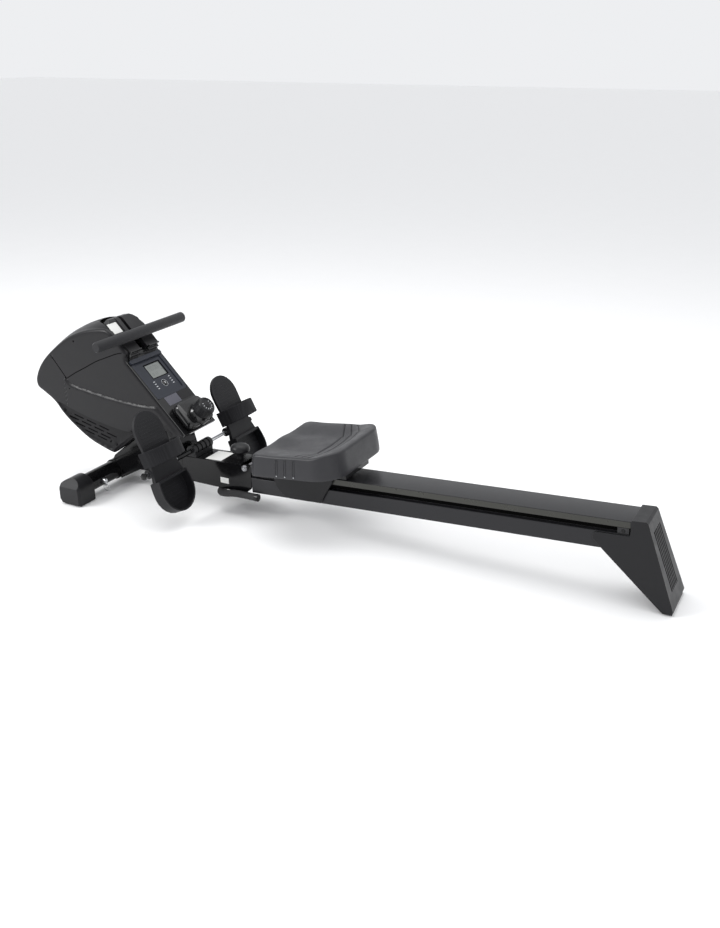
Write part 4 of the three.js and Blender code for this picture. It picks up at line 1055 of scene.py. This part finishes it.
# ---------------------------------------------------------------- rail, stops and rear foot
def make_rail(m):
    """Open extrusion with rounded corners and a running groove on both sides, closed at neither end."""
    def outline(shrink):
        h, g = 52 - shrink, 36 - shrink
        return [(-h, -84 + shrink), (h, -84 + shrink), (h, -37 - shrink), (g, -37 - shrink),
                (g, -19 + shrink), (h, -19 + shrink), (h, -shrink), (-h, -shrink), (-h, -19 + shrink),
                (-g, -19 + shrink), (-g, -37 - shrink), (-h, -37 - shrink)]

    def rounded(points, radius):
        closed = [points[-1]] + points + [points[0]]
        return fillet(closed, radius, 4)[1:-1]

    outer, inner = rounded(outline(0), 2.4), rounded(outline(3), 1.0)
    front_end, rear_end = -233, 906
    vertices = [(x, y, z) for ring in (outer, inner) for x in (front_end, rear_end) for y, z in ring]
    faces = []
    n = len(outer)
    for k in range(n):
        a, b = k, (k + 1) % n
        faces += [(a, b, b + n, a + n), (2 * n + b, 2 * n + a, 3 * n + a, 3 * n + b),
                (b, a, 2 * n + a, 2 * n + b), (n + a, n + b, 3 * n + b, 3 * n + a)]
    add_piece("rail_look", vertices, faces, m["rail"], "rail", ["rail"], 40, RAIL_FRAME)
    # Running strips on each side, and a near-black sheet of painted shade at the back of each groove.
    for sign, word in ((-1, "left"), (1, "right")):
        for name, near, far, low, high, key, width in (("running_strip_", 51.6, 52.25, -18.4, -2.0, "strip",
                0.3), ("groove_shade_", 35.6, 36.3, -36.6, -19.4, "groove", 0)):
            sides = (-228, 901, *sorted((sign * near, sign * far)), low, high)
            block(name + word, sides, m[key], "rail", RAIL_FRAME, width)
    polish("rail_front_stop", m["rubber"], 0.8)
    polish("rail_rear_stop", m["rubber"], 1.0)
    for sign, word in ((-1, "left"), (1, "right")):
        centre = (RAIL_FRAME @ Vector((0.883, sign * 0.0519, -0.028))) / MM
        turned("stop_screw_" + word, [(0, 0.7), (2.0, 0.7), (2.6, 1.4), (4.4, 1.2), (5, 0.4), (5, -1)],
                centre, (0, sign, 0), m["paint"], "rail_rear_stop", 32, 40, replace=False)


def make_rear_foot(m):
    polish("rear_foot", m["moulded"], 1.6, 3, 28)
    polish("rear_foot_pad", m["rubber"], 1.0)
    # Dark sheet behind the slots of the sloping end: painted shade inside the hollow foot.
    lean = math.atan2(0.087, 0.217)
    space = Matrix.Translation((0.979, 0, 0.118)) @ Matrix.Rotation(-lean, 4, "Y")
    block("slot_shade", (-0.6, 0, -36, 36, -84, 84), m["groove"], "rail", space, 0)


# ---------------------------------------------------------------- seat
def seat_surface():
    """Moulded seat: flared skirt, rolled rim, crowned top with a raised back and a soft front."""
    front, rear, half, bottom = -159, 123, 167, 23
    rings = []

    def ring(inset, height):
        """The seat's plan, drawn in by the inset: tight corners in front and wide ones behind."""
        x0, x1, y1 = front + inset, rear - inset, half - inset
        small, large = 22 - inset * 0.5, 80 - inset * 0.8
        points = []
        corners = ((x1 - large, y1 - large, large, 0), (x0 + small, y1 - small, small, 90),
                (x0 + small, small - y1, small, 180), (x1 - large, large - y1, large, 270))
        for (cx, cy, r, start), (nx, ny, nr, nstart) in zip(corners, corners[1:] + corners[:1]):
            arc = [(cx + r * math.cos(math.radians(start + 90 * k / 20)),
                    cy + r * math.sin(math.radians(start + 90 * k / 20))) for k in range(21)]
            end = (nx + nr * math.cos(math.radians(nstart)), ny + nr * math.sin(math.radians(nstart)))
            run = [tuple(arc[-1][k] + (end[k] - arc[-1][k]) * i / 40 for k in (0, 1)) for i in range(1, 40)]
            points += arc + run
        return [(x, y, height(x, y)) for x, y in points]

    def low(x):
        return bottom + (x - front) * 0.045

    def crest(x):
        return 88 + 7 * ease((x + 110) / 140) + 15 * ease((x - 25) / 80)

    def top(x, y):
        """Height of the upper side: a shallow pan inside a raised rim that stands highest at the back."""
        u = max((x + 40) / 152, (-x - 40) / 168, 0)
        v = abs(y) / 152
        out = (u ** 3.2 + v ** 3.2) ** (1 / 3.2)
        pan = 78.5 + 0.03 * x + 5 * math.exp(-(y / 40) ** 2) * clamp(-(x + 20) / 120)
        front_roll = 7.0 * ease((-x - 70) / 80)
        rim = crest(x) - 1.5 * clamp((-x - 120) / 40) + 3 * math.exp(-(y / 45) ** 2) * clamp(-(x + 60) / 90)
        t = ease((out - 0.42) / 0.55)
        return (pan + front_roll) * (1 - t) + rim * t

    rings.append(ring(16, lambda x, y: low(x) + 1))
    rings.append(ring(2.5, lambda x, y: low(x)))
    rings.append(ring(0.6, lambda x, y: low(x) + 0.7))
    rings.append(ring(0, lambda x, y: low(x) + 2.5))
    rings.append(ring(0, lambda x, y: low(x) + 8))
    for t in (0.12, 0.25, 0.4, 0.55, 0.7, 0.82, 0.92, 1.0):
        rings.append(ring(6.0 * t ** 1.3, lambda x, y, t=t: (low(x) + 8) * (1 - t) + (top(x, y) - 8) * t))
    for a in (15, 30, 45, 60, 75, 90):
        a = math.radians(a)
        rings.append(ring(6 + 8 * (1 - math.cos(a)), lambda x, y, a=a: top(x, y) - 8 * (1 - math.sin(a))))
    return rings, top


def make_seat(m):
    rings, top = seat_surface()
    count = len(rings[0])
    vertices = [p for ring in rings for p in ring]
    faces = []
    wall(faces, 0, len(rings), count)
    faces.append(tuple(reversed(range(count))))

    # Top: a fine net that carries the pressed channels.
    rim = [(x, y) for x, y, _ in rings[-1]]
    first = len(vertices) - count
    channels = []
    for sign in (-1, 1):
        for i, x in enumerate((20, 44, 68)):
            bend = 84 + 6 * i
            line = [(x, 0), (x, sign * (bend - 12)), (x - 4, sign * bend), (x - 30 - 2 * i, sign * 146)]
            line = [(x - 0.05 * k, sign * k) for k in range(0, bend - 10, 4)] + smooth_path(line[1:], 6)
            channels.append(line[::sign])
    grid = list(rim)
    edges = [(i, (i + 1) % count) for i in range(count)]
    for line in channels:
        for offset in (-3.2, -1.6, 0, 1.6, 3.2):
            base = len(grid)
            moved = shifted(line, offset)
            grid.extend(moved)
            edges.extend((base + i, base + i + 1) for i in range(len(moved) - 1))
    for row, y in enumerate(np.arange(-160, 160, 5)):
        for x in np.arange(-157 + (row % 2) * 2.5, 130, 5):
            if inside(rim, x, y) and edge_gap(rim, x,
                    y) > 2 and all(distance_to(c, x, y)[0] > 4.4 for c in channels):
                grid.append((float(x), float(y)))
    net = delaunay_2d_cdt([Vector(p) for p in grid], edges, [], 1, 1e-4)

    def press(x, y):
        deep = 0.0
        for line in channels:
            d, _ = distance_to(line, x, y)
            deep = max(deep, 3.4 * math.exp(-(d / 1.9) ** 2))
        return deep

    table = {}
    for index, p in enumerate(net[0]):
        if index < count and math.dist(p, rim[index]) < 1e-3:
            table[index] = first + index
        else:
            table[index] = len(vertices)
            vertices.append((p.x, p.y, top(p.x, p.y) - press(p.x, p.y)))
    for t in net[2]:
        face = [table[i] for i in t]
        if len(set(face)) > 2:
            faces.append(face)
    seat = add_piece("seat_pad", vertices, faces, m["seat"], "seat",
            ["seat_cushion"], 60, RAIL_FRAME)
    bm = bmesh.new()
    bm.from_mesh(seat.data)
    bmesh.ops.recalc_face_normals(bm, faces=bm.faces)
    bm.to_mesh(seat.data)
    bm.free()
    # Raised hairpin ribs on both flanks: up one line, over at the rim, down the next.
    for sign, word in ((-1, "left"), (1, "right")):
        for i, x in enumerate((-66, -38, -10)):
            path = []
            for side, heights in ((-1, range(15)), (1, reversed(range(15)))):
                for k in heights:
                    t = k / 14
                    start = 33 + (x + 159) * 0.045
                    lift = start + t * (top(x, sign * 160) - 7 - start)
                    path.append((x + side * 3.2 * (1 - 0.35 * t ** 6), sign * (167 - 6.0 * t ** 1.3 + 0.1),
                            lift))
            path = to_row(RAIL_FRAME, path)
            sweep(f"seat_rib_{word}_{i}", path, 0.9, m["seat"], "seat", 10, (), False,
                    (0, sign, 0))
            dot = (RAIL_FRAME @ Vector((x * MM, sign * 0.1670, (start - 3) * MM))) / MM
            turned(f"seat_dot_{word}_{i}", [(0, 0.8), (1.2, 0.6), (1.6, 0), (1.6, -1)], dot, (0, sign, 0),
                    m["mark"], "seat_cushion", 16, 40, replace=False)
    polish("seat_carriage", m["paint"], 0.6)
    for word in ("left", "right"):
        polish("seat_guard_" + word, m["shell"], 0.7)
    for place in ("front", "rear"):
        for word in ("left", "right"):
            polish(f"seat_roller_{place}_{word}", m["rubber"], 0.6)


# ---------------------------------------------------------------- whole machine
def main():
    materials = make_materials()
    make_stage()
    make_housing(materials)
    make_console(materials)
    make_handle(materials)
    make_drive(materials)
    make_frame(materials)
    make_lock(materials)
    make_pedals(materials)
    make_rail(materials)
    make_rear_foot(materials)
    make_seat(materials)


main()
bpy.context.view_layer.update()
